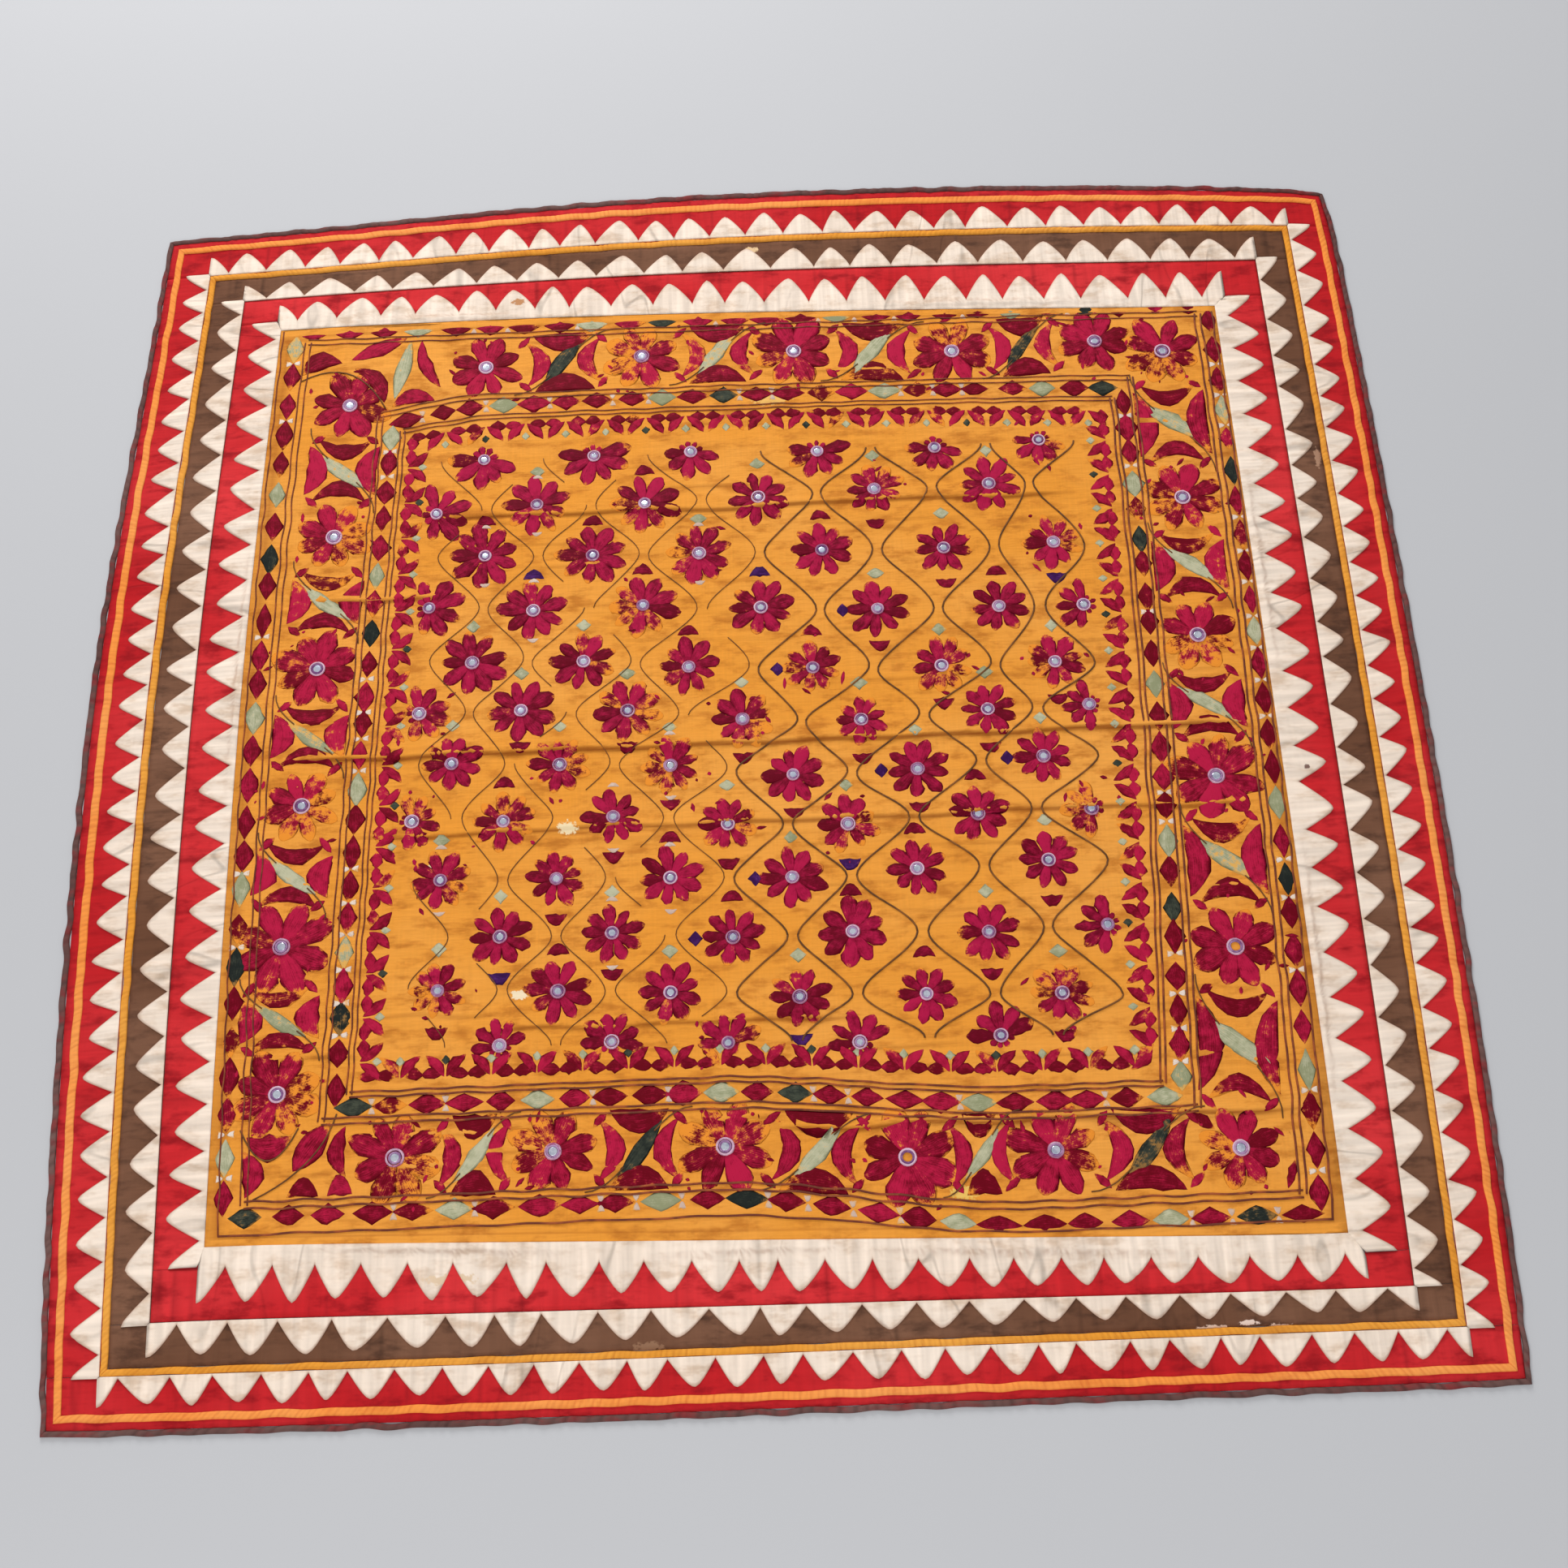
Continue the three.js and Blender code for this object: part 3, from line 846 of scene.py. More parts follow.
@dataclass(frozen=True)
class Relief:
    """Height of the centre panel's upper face: listed folds, seeded fine wrinkles and slow swells."""

    folds: tuple[Fold, ...] = (
        Fold(271, -370, 345, 2.6, 36), Fold(176, -490, -300, 2.2, 30), Fold(-5, -500, 495, 3.4, 38),
        Fold(-91, -420, 497, 2.4, 34), Fold(-295, -300, 95, 2.2, 34), Fold(-402, -20, 497, 3.2, 38),
    )
    run_out: float = 60.0
    waver: float = 2.4
    waver_pitch: float = 160.0
    near_face: float = 5.0
    far_power: float = 1.7
    wrinkles: int = 90
    wrinkle_x: Pair = (-470.0, 470.0)
    wrinkle_y: Pair = (-470.0, 480.0)
    wrinkle_ends: Pair = (-508.0, 502.0)
    wrinkle_reach: Pair = (35.0, 130.0)
    wrinkle_rise: Pair = (0.3, 1.0)
    wrinkle_half: Pair = (9.0, 20.0)
    swell: float = 0.5
    full_rise: float = 3.0
    crease_half: float = 1.7
    crease_shade: float = 0.85
    seed: int = 11

    def fine(self) -> list[Fold]:
        """Seeded fine wrinkles, mostly level and short."""
        draw = np.random.default_rng(self.seed)
        made = []
        for _ in range(self.wrinkles):
            middle, reach = draw.uniform(*self.wrinkle_x), draw.uniform(*self.wrinkle_reach)
            start, end = max(self.wrinkle_ends[0], middle - reach), min(self.wrinkle_ends[1], middle + reach)
            y, rise = draw.uniform(*self.wrinkle_y), draw.uniform(*self.wrinkle_rise)
            made.append(Fold(y, start, end, rise, draw.uniform(*self.wrinkle_half)))
        return made

    def each(self, x: Array, y: Array) -> Iterator[tuple[Fold, Array, Array]]:
        """Each fold, the share of its rise at some places, and how far beyond its wavering line they lie."""
        for index, fold in enumerate((*self.folds, *self.fine())):
            line = fold.y + self.waver * ripple(x / self.waver_pitch, index, 3)
            run = smoothstep(np.minimum(x - fold.start, fold.end - x), 0.0, self.run_out)
            yield fold, run, y - line

    def height(self, x: Array, y: Array) -> Array:
        """Height above the floor, in millimetres.

        Each fold rises gently from its far foot as a power of the nearness, and drops steeply on its near
        face as a cosine; the highest fold at a point counts, on top of slow swells of the cloth.

        Args:
            x: plan places across.
            y: plan places up.

        Returns:
            Heights at those places.
        """
        rise = np.zeros(np.broadcast(x, y).shape)
        for fold, run, past in self.each(x, y):
            far = np.clip(1.0 - past / fold.half, 0.0, 1.0) ** self.far_power
            near = 0.5 + 0.5 * np.cos(math.pi * np.clip(-past / self.near_face, 0.0, 1.0))
            rise = np.maximum(rise, fold.rise * run * np.where(past > 0.0, far, near))
        swell = self.swell * (1.0 + ripple(x / 140.0 + y / 320.0, 3) * ripple(y / 110.0, 4)) / 2.0
        return PANEL.cloth + rise + swell

    def crease(self, x: Array, y: Array) -> Array:
        """Painted shade along the near foot of each fold, from 0 to 1."""
        dark = np.zeros(np.broadcast(x, y).shape)
        for fold, run, past in self.each(x, y):
            depth = min(1.0, fold.rise / self.full_rise)
            dark = np.maximum(dark, depth * run * bell(past + 0.6 * self.near_face, self.crease_half))
        return self.crease_shade * dark


RELIEF = Relief()


@dataclass
class CentrePanel:
    """The mustard cotton centre, one thin sheet with its folds and turned edges."""

    columns: int = 116
    rows: int = 600
    under_columns: int = 24
    lean_out: int = 8
    hem: float = 9.0
    hem_rise: float = 0.35
    hem_step: float = 1.5
    hem_line: float = 0.9
    hem_shade: float = 0.45
    hem_under: float = 6.0
    slack: float = 0.4

    def build(self) -> Piece:
        """Sheet over the plan: upper face at the relief, under face one cloth lower or on the floor.

        Ring i is the section at one height up the pattern: its upper places run across from left to right and
        its under places come back, each laid as the pattern lies.

        Returns:
            The finished sheet.
        """
        reach = {side: PANEL.half_side - PANEL.shape(side).centre - PANEL.gap for side in Side}
        left, right = -reach[Side.LEFT], reach[Side.RIGHT]
        low, high = -reach[Side.BOTTOM], reach[Side.TOP]
        upper = np.linspace(left, right, self.columns)
        under = np.linspace(right, left, self.under_columns)
        x = np.concatenate((upper, under))[None]
        y = np.linspace(low, high, self.rows)[:, None]
        edge = np.where(y > 0.0, high, -low)
        level = y + PANEL.lean_at(x, y) * (1.0 - (y / edge) ** self.lean_out)
        plan_x, plan_y = PANEL.lay(*np.broadcast_arrays(x, level))
        above = np.arange(x.size) < self.columns
        rim = np.minimum(np.minimum(x - left, right - x), np.minimum(y - low, high - y))
        turned = self.hem_rise * (1.0 - smoothstep(rim, self.hem - self.hem_step, self.hem))
        top = RELIEF.height(plan_x, plan_y) + turned
        z = np.where(above, top, np.maximum(0.0, top - PANEL.cloth - self.slack))
        # Painted shade along the near foot of each fold and along the hem's turned edge; none on the under
        # face.
        crease = np.where(above, RELIEF.crease(plan_x, plan_y), 0.0)
        crease = np.maximum(crease, self.hem_shade * bell(rim - self.hem, self.hem_line))
        rings = PANEL.place(plan_x, plan_y, z)[None]
        uv = join(x * MM, y * MM)[None]
        cloth = Loft("centre_cloth")
        cloth.add(rings, end_means(rings), uv, {"crease": crease[None]})
        hems = 2.0 * self.hem_under
        self.flat = ((right - left + hems) * MM, (high - low + hems) * MM)
        return cloth.piece(MUSTARD, "mustard_cotton", "centre_panel")


@dataclass
class Strip:
    """A length of cloth along one side, named after its row and side as the CAD node that it stands for."""

    side: Side
    row: str

    @property
    def name(self) -> str:
        """Name of the CAD node."""
        return f"{self.row}_{self.side.word}"

    def seed(self, kind: int) -> int:
        """Seed of this strip's scatter, apart from other kinds of strip."""
        return kind + 10 * len(self.row) + self.side.value

    def carry(self, runs: Array, depths: Array, tops: Array, crease: Array, under: Pair,
              finish: ClothFinish, slot: str, ending: str = "_cloth") -> Piece:
        """Carry a section along the side as one closed body.

        Section i is a loop of depths and heights at its own runs; it comes back underneath, below its last
        place and its first one, at one height and one painted shade.

        Args:
            runs: places along the side, sections by places.
            depths: depths in from the panel's edge.
            tops: heights of the upper face over the floor.
            crease: painted shade along the creases, tucks, rims, pleat feet and pucker dips.
            under: height and painted shade of the under side.
            finish: gives the material.
            slot: the record's material slot.
            ending: end of the piece's name.

        Returns:
            The finished strip.
        """
        loop = np.append(np.arange(tops.shape[1]), (-1, 0))
        runs, depths = runs[:, loop], depths[:, loop]
        heights, shade = tops[:, loop], crease[:, loop]
        heights[:, -2:], shade[:, -2:] = under
        rings = PANEL.place(*PANEL.on_side(self.side, runs, depths), heights)[None]
        strip = Loft(self.name + ending)
        strip.add(rings, end_means(rings), join(runs, depths)[None] * MM, {"crease": shade[None]})
        return strip.piece(finish, slot, self.name)


@dataclass
class GroundStrip(Strip):
    """One straight strip of ground cloth on one side, with cross tucks and puckers."""

    outer: float
    inner: float
    start: float
    end: float
    finish: ClothFinish
    slot: str
    across: Row = (0.0, 0.12, 0.3, 0.5, 0.7, 0.88, 1.0)
    step: float = 3.2
    pucker: float = 0.35
    pucker_pitch: float = 17.0
    tuck_pitch: float = 42.0
    tuck_lean: float = 3.0
    tuck_half: float = 1.5
    tuck_rise: float = 0.5
    tuck_shade: float = 0.4
    weakest: float = 0.3
    edge_drop: float = 0.2

    def build(self) -> Piece:
        """Section carried along the side: level between its edges, raised by puckers and by seeded tucks.

        Returns:
            The finished strip.
        """
        seed = self.seed(1000)
        draw = np.random.default_rng(seed)
        length = self.end - self.start
        run = np.linspace(self.start, self.end, int(length / self.step))[:, None]
        share = np.array(self.across)[None]
        tucks = draw.uniform(self.start, self.end, int(length / self.tuck_pitch))
        lean = draw.uniform(-self.tuck_lean, self.tuck_lean, tucks.size)
        strength = draw.uniform(self.weakest, 1.0, tucks.size)
        aside = run[..., None] - tucks - lean * (share[..., None] - 0.5)
        tuck = (strength * bell(aside, self.tuck_half)).max(-1)
        wave = self.pucker * ripple(run / self.pucker_pitch, seed) * np.sin(math.pi * share)
        edge = self.edge_drop * (np.abs(share - 0.5) > 0.45)
        top = PANEL.cloth + wave + self.tuck_rise * tuck - edge
        run, depth = np.broadcast_arrays(run, lerp(self.outer, self.inner, share))
        self.flat = ((self.inner - self.outer) * MM, length * MM)
        # Painted shade: each tuck darkens the cloth by tuck_shade, as well as raising it.
        return self.carry(run, depth, top, self.tuck_shade * tuck, (0.0, 0.0), self.finish, self.slot)


def uneven(index: Array, use: int) -> Array:
    """Repeatable scatter from -1 to 1: the fraction of a large multiple of a sine."""
    return 2.0 * np.mod(np.sin(index * 12.9898 + use * 78.233) * 43758.5453, 1.0) - 1.0


@dataclass(frozen=True)
class Pleat:
    """A long soft pleat in an inner cream band: its side, run, depths at both ends and rise."""

    side: Side
    start: float
    end: float
    start_depth: float
    end_depth: float
    rise: float
    half: float = 2.2
    foot: float = 2.4
    foot_half: float = 1.2
    shade: float = 0.6
    waver: float = 0.8
    waver_pitch: float = 60.0

    def lie(self, runs: Array, depth: Array) -> tuple[Array, Array]:
        """Rise and painted shade of the pleat: a bell across its slanted line, with painted shade in a thin
        dark foot.
        """
        share = np.clip((runs - self.start) / (self.end - self.start), 0.0, 1.0)
        line = lerp(self.start_depth, self.end_depth, share) + self.waver * ripple(runs / self.waver_pitch, 5)
        swell = np.sin(math.pi * share) ** 0.7
        past = depth - line
        # Painted shade along the foot of the pleat.
        dark = self.shade * swell * bell(past + self.foot, self.foot_half)
        return self.rise * swell * bell(past, self.half), dark


PLEATS = (
    Pleat(Side.BOTTOM, -410, -65, 136, 141, 3.3), Pleat(Side.BOTTOM, 190, 430, 142, 146, 2.7),
    Pleat(Side.BOTTOM, -60, 120, 144, 138, 1.8), Pleat(Side.TOP, 120, 420, 138, 134, 2.4),
    Pleat(Side.TOP, -430, -240, 137, 140, 1.8), Pleat(Side.LEFT, -60, 240, 131, 133, 1.8),
    Pleat(Side.RIGHT, -300, -60, 139, 137, 2.1), Pleat(Side.RIGHT, 120, 380, 138, 141, 2.1),
)


@dataclass
class ToothedStrip(Strip):
    """One cream strip of applique, straight along its inner edge and cut into teeth along its outer one."""

    tips: float
    base: float
    inner: float
    start: float
    end: float
    count: int
    round_tip: float
    belly: float
    pleats: tuple[Pleat, ...] = ()
    per_tooth: int = 12
    uneven_pitch: float = 0.1
    uneven_rise: float = 0.07
    across: Row = (0.0, 0.06, 0.12, 0.18, 0.25, 0.33, 0.48, 0.7, 0.86, 0.95, 1.0)
    rolled: Row = (0.85, *(1.0,) * 7, 0.96, 0.72, 0.2)
    puff: float = 0.25
    puff_pitch: Pair = (23.0, 31.0)
    lift: float = 0.35
    sunk: float = 0.15
    rim_shade: float = 0.75
    rim_half: float = 1.3

    def outline(self) -> tuple[Array, Array, Array]:
        """Stations along the strip, the teeth's height over their base there, and the slope of their sides.

        Between two notches a tooth stands on its tip's height less the distance to the tip, rounded at the
        top by a hyperbola; the notches and tips are scattered as in the solid.

        Returns:
            Stations, heights and the share that a side's slant leaves of a depth measured across it.
        """
        half = PANEL.half_side - self.base
        seed = 100 * self.side.value + self.tips
        pitch = 2.0 * half / (self.count + 1)
        order = np.arange(self.count + 1)
        notches = -half + pitch * (order + 0.5 + self.uneven_pitch * uneven(seed + order, 1))
        widths = np.diff(notches)
        tips = notches[:-1] + widths * (0.5 + self.uneven_pitch * uneven(seed + order[:-1], 3))
        tips = np.concatenate(((-half,), tips, (half,)))
        rises = np.arange(self.count + 2)
        rises = (self.base - self.tips) * (1.0 - self.uneven_rise * (1.0 + uneven(seed + rises, 2)))
        dense = np.linspace(-half, half, (self.count + 1) * self.per_tooth)
        run = np.unique(np.round(np.concatenate((dense, notches, tips)), 3))
        tooth = np.searchsorted(notches, run, side="right")
        walls = np.concatenate(((-half - pitch / 2.0,), notches, (half + pitch / 2.0,)))
        to_tip = run - tips[tooth]
        reach = np.where(to_tip < 0.0, tips[tooth] - walls[tooth], walls[tooth + 1] - tips[tooth])
        off = np.clip(np.abs(to_tip) / reach, 0.0, 1.0)
        blunt = self.round_tip
        drop = (np.sqrt(off ** 2 + blunt ** 2) - blunt) / (math.sqrt(1.0 + blunt ** 2) - blunt)
        height = rises[tooth] * np.clip(1.0 - drop, 0.0, 1.0) ** self.belly
        slant = 1.0 / np.sqrt(1.0 + (rises[tooth] / reach) ** 2)
        return run, height, slant

    def build(self) -> Piece:
        """Section carried along the strip from its straight edge to the teeth, rolled under along the cut.

        Returns:
            The finished strip.
        """
        run, height, slant = self.outline()
        half, low, share = run[-1], PANEL.cloth, np.array(self.across)
        outer = (self.base - height)[:, None]
        depth = lerp(self.inner, outer, share)
        mitre = np.clip((self.inner - depth) / (self.inner - self.base), 0.0, 1.0)
        runs = np.clip(run[:, None], lerp(self.start, -half, mitre), lerp(self.end, half, mitre))
        wave = runs / self.puff_pitch[0] + depth / self.puff_pitch[1]
        puff = self.puff * ripple(wave, 500 + self.side.value + int(self.tips))
        top = low + (PANEL.applique + self.lift + puff) * np.array(self.rolled)
        aside = (1.0 - share) * (self.inner - outer) * slant[:, None]
        shade = np.zeros(runs.shape)
        for pleat in self.pleats:
            rise, dark = pleat.lie(runs, depth)
            top, shade = top + rise, shade + dark
        # Painted shade along the teeth's cut edge, and at the pleats' feet.
        shade = np.maximum(self.rim_shade * bell(aside, self.rim_half), shade)
        self.area = float(np.trapz(height + self.inner - self.base, run)) * MM * MM
        self.flat = ((self.inner - self.tips) * MM, (run[-1] - run[0]) * MM)
        return self.carry(runs, depth, top, shade, (low - self.sunk, 0.0), CREAM, "cream_cotton")


@dataclass
class Trim(Strip):
    """One length of piping, stripe or binding along a side, half round in section and puckered."""

    outer: float
    inner: float
    low: float
    rise: float
    finish: ClothFinish
    slot: str
    pucker: float = 0.13
    pucker_pitch: float = 5.5
    even_share: float = 0.7
    stray_share: float = 0.6
    slant: float = 0.5
    wobble: float = 0.6
    wobble_pitch: float = 45.0
    drift_pitch: float = 40.0
    step: float = 1.6
    around: int = 8
    edge_lift: float = 0.15
    edge_shade: float = 0.25
    edge_high: float = 0.3

    def build(self) -> Piece:
        """Half-round section carried along the side with mitred ends, its crown raised and sunk by puckers.

        Place j of a section is at an angle round the half round: depth by its cosine, height by a root of its
        sine; the two last places lie under it.

        Returns:
            The finished trim.
        """
        seed = self.seed(700)
        middle, half_width = (self.outer + self.inner) / 2.0, (self.inner - self.outer) / 2.0
        angle = np.linspace(math.pi, 0.0, self.around)[None]
        reach = PANEL.half_side - middle
        run = np.linspace(-1.0, 1.0, int(2.0 * reach / self.step))[:, None] * reach
        depth = middle + half_width * np.cos(angle) + self.wobble * ripple(run / self.wobble_pitch, seed)
        beat = (run + self.slant * np.cos(angle)) / self.pucker_pitch
        even = self.even_share * np.sin(TAU * beat + 2.0 * ripple(run / self.drift_pitch, seed + 2))
        crown = 1.0 + self.pucker * (even + self.stray_share * ripple(beat, seed + 1))
        top = self.low + self.rise * np.sqrt(np.sin(angle)) * crown
        top[:, (0, -1)] += self.edge_lift * self.rise
        runs = run * (PANEL.half_side - depth) / reach
        # Painted shade in the pucker dips, along the low edges and on the under side.
        edge = self.edge_shade * (top < self.low + self.edge_high * self.rise)
        shade = np.clip(2.0 * np.clip(1.02 - crown, 0.0, 1.0) + edge, 0.0, 0.8)
        under = (self.low, self.edge_shade)
        return self.carry(runs, depth, top, shade, under, self.finish, self.slot, "_trim")


@dataclass
class Border:
    """The toothed border round the centre: ground strips, cream teeth and trims of one side after another."""

    seam: float = 0.2
    bound: float = 1.8
    inner_tip: float = 0.2

    def grounds(self, side: Side) -> list[GroundStrip]:
        """Outer red, middle brown and inner red strips of one side."""
        rows = (
            ("outer_ground", PANEL.binding_in - self.bound, PANEL.outer_base, DEEP_RED, "red_cotton"),
            ("middle_ground", PANEL.piping_in, PANEL.middle_base, BROWN, "brown_cotton"),
            ("inner_ground", PANEL.middle_base, PANEL.inner_base, RED, "red_cotton"),
        )
        made = []
        for row, outer, inner, finish, slot in rows:
            long_side = side in (Side.TOP, Side.BOTTOM)
            half = PANEL.half_side - (outer if long_side else inner) - self.seam
            outer, inner = outer + self.seam, inner - self.seam
            made.append(GroundStrip(side, row, outer, inner, -half, half, finish, slot))
        return made

    def teeth(self, side: Side) -> list[ToothedStrip]:
        """Outer, middle and inner cream strips of one side."""
        shape = PANEL.shape(side)
        made = []
        for row, tips, base, count in (
            ("outer_teeth", PANEL.outer_tips, PANEL.outer_base, shape.outer),
            ("middle_teeth", PANEL.middle_tips, PANEL.middle_base, shape.middle),
        ):
            half, turned = PANEL.half_side - base, base - PANEL.base_turn
            made.append(ToothedStrip(
                side, row, tips, turned, base - PANEL.gap, -half, half, count, shape.round_tip, shape.belly))
        before, after = (PANEL.shape(Side((side.value + turn) % 4)).centre for turn in (3, 1))
        start, end = before - PANEL.half_side, PANEL.half_side - after
        pleats = tuple(pleat for pleat in PLEATS if pleat.side is side)
        made.append(ToothedStrip(
            side, "inner_teeth", PANEL.inner_tips, PANEL.inner_base, shape.centre + self.seam, start, end,
            shape.inner, self.inner_tip, shape.inner_belly, pleats))
        return made

    def trims(self, side: Side) -> dict[str, Trim]:
        """Piping, stripe and binding of one side."""
        rows = (
            ("piping", PANEL.outer_base, PANEL.piping_in, 0.0, 2.9, PIPING, "yellow_piping"),
            ("edge_stripe", PANEL.stripe_out, PANEL.stripe_in, PANEL.cloth, 1.7, STRIPE, "orange_stripe"),
            ("edge_binding", 0.0, PANEL.binding_in - self.bound, 0.0, 2.6, BINDING, "dark_binding"),
        )
        made = {row[0]: Trim(side, *row) for row in rows}
        binding = replace(made["edge_binding"], pucker=0.16, pucker_pitch=11.0, wobble=0.9)
        return made | {"edge_binding": binding}

    def build(self) -> None:
        """Make every strip and trim of each side."""
        for side in Side:
            trims = {row: trim.build() for row, trim in self.trims(side).items()}
            carried = {
                "outer_ground": [trims["edge_stripe"], trims["edge_binding"]],
                "middle_ground": [trims["piping"]],
                "inner_ground": [],
            }
            grounds = {}
            for strip in self.grounds(side):
                grounds[strip.row] = strip.build()
                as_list(carried[strip.row])
            for strip in self.teeth(side):
                made = strip.build()
                ground = grounds[strip.row.replace("teeth", "ground")]
                ground.name


# The embroidery

class Outline(Enum):
    """Outlines that a stitched patch can have."""

    PETAL = "petal"
    LEAF = "leaf"
    DIAMOND = "diamond"
    HALF_MOON = "half_moon"

    def widths(self, share: Array, blunt: Array) -> tuple[Array, Array]:
        """Shift to the right of a spine and half width there, as shares of the patch's width.

        A petal swells from a narrow foot to a round of a set bluntness, a leaf is a power of a cosine, a
        diamond a full tent, and a half-moon a swelling arc on the right of its spine.

        Args:
            share: places along the spine, from 0 to 1.
            blunt: bluntness of each patch's tip.

        Returns:
            Shifts and half widths.
        """
        bulge = np.abs(2.0 * share - 1.0) * np.ones_like(blunt)
        if self is Outline.PETAL:
            foot = 0.36 + 0.64 * np.clip(share / 0.66, 0.0, 1.0)
            half = 0.5 * foot * np.clip(1.0 - share ** blunt, 0.0, 1.0) ** 0.65
        elif self is Outline.LEAF:
            half = 0.5 * np.cos(0.5 * math.pi * bulge) ** 0.85
        elif self is Outline.DIAMOND:
            half = 0.5 * (1.0 - bulge ** 1.15) ** 0.95
        else:
            half = 0.5 * np.clip(1.0 - bulge ** 2, 0.0, 1.0) ** 0.8
        return (half if self is Outline.HALF_MOON else 0.0 * half), half


class Thread(Enum):
    """Floss that a patch is stitched in."""

    MAGENTA = MAGENTA
    WINE = WINE
    PALE_GREEN = PALE_GREEN
    DARK_GREEN = DARK_GREEN
    PURPLE = PURPLE
    WHITE = WHITE


@dataclass(frozen=True)
class StitchedFrame:
    """A four-sided line round the centre, in plan millimetres: its sides at their start, middle and end.

    The lower side is level, then slumps right of the middle; the far side droops towards its left end.
    """

    left: Triple
    right: Triple
    top: Triple
    bottom: Pair
    droop: float = 0.0
    droop_run: float = 0.13
    droop_power: float = 1.5
    slump: Pair = (-60.0, 230.0)
    near: float = 0.01

    def along(self, side: Side, share: Array) -> Array:
        """Plan points a share of the way along a side, from the left or from the top."""
        if side is Side.TOP:
            droop = self.droop * np.clip(1.0 - share / self.droop_run, 0.0, 1.0) ** self.droop_power
            return join(lerp(self.left[0], self.right[0], share), through(self.top, share) - droop)
        if side is Side.BOTTOM:
            x = lerp(self.left[2], self.right[2], share)
            return join(x, lerp(*self.bottom, smoothstep(x, *self.slump)))
        across, high, low = self.right, self.top[2], self.bottom[1]
        if side is Side.LEFT:
            across, high, low = self.left, self.top[0] - self.droop, self.bottom[0]
        return join(through(across, share), lerp(high, low, share))

    def length(self, side: Side) -> float:
        """Length of a side."""
        return float(steps(self.along(side, np.linspace(0.0, 1.0, 40))).sum())

    def course(self, side: Side, share: Array) -> Array:
        """Unit directions along a side."""
        return unit(self.along(side, share + self.near) - self.along(side, share - self.near))


HEM_LINE = StitchedFrame((-513, -523, -512), (507, 510, 499), (519, 511, 492), (-482, -508))
OUTER_GUARD = StitchedFrame((-498, -514, -509), (503, 504, 489), (515, 509, 499), (-466, -502))
OUTER_LINE = StitchedFrame((-485, -499, -490), (491, 491, 475), (503, 499, 490), (-455, -484))
INNER_LINE = StitchedFrame((-401, -414, -423), (410, 406, 389), (422, 419, 411), (-379, -401), 19.0)
INNER_GUARD = StitchedFrame((-387, -404, -411), (399, 396, 376), (408, 410, 398), (-366, -388), 16.0)
EDGING_LINE = StitchedFrame((-376, -390, -398), (388, 383, 360), (395, 394, 385), (-354, -375), 13.0)
EDGING = StitchedFrame((-362, -375, -384), (370, 362, 347), (376, 379, 364), (-334, -352), 8.0)


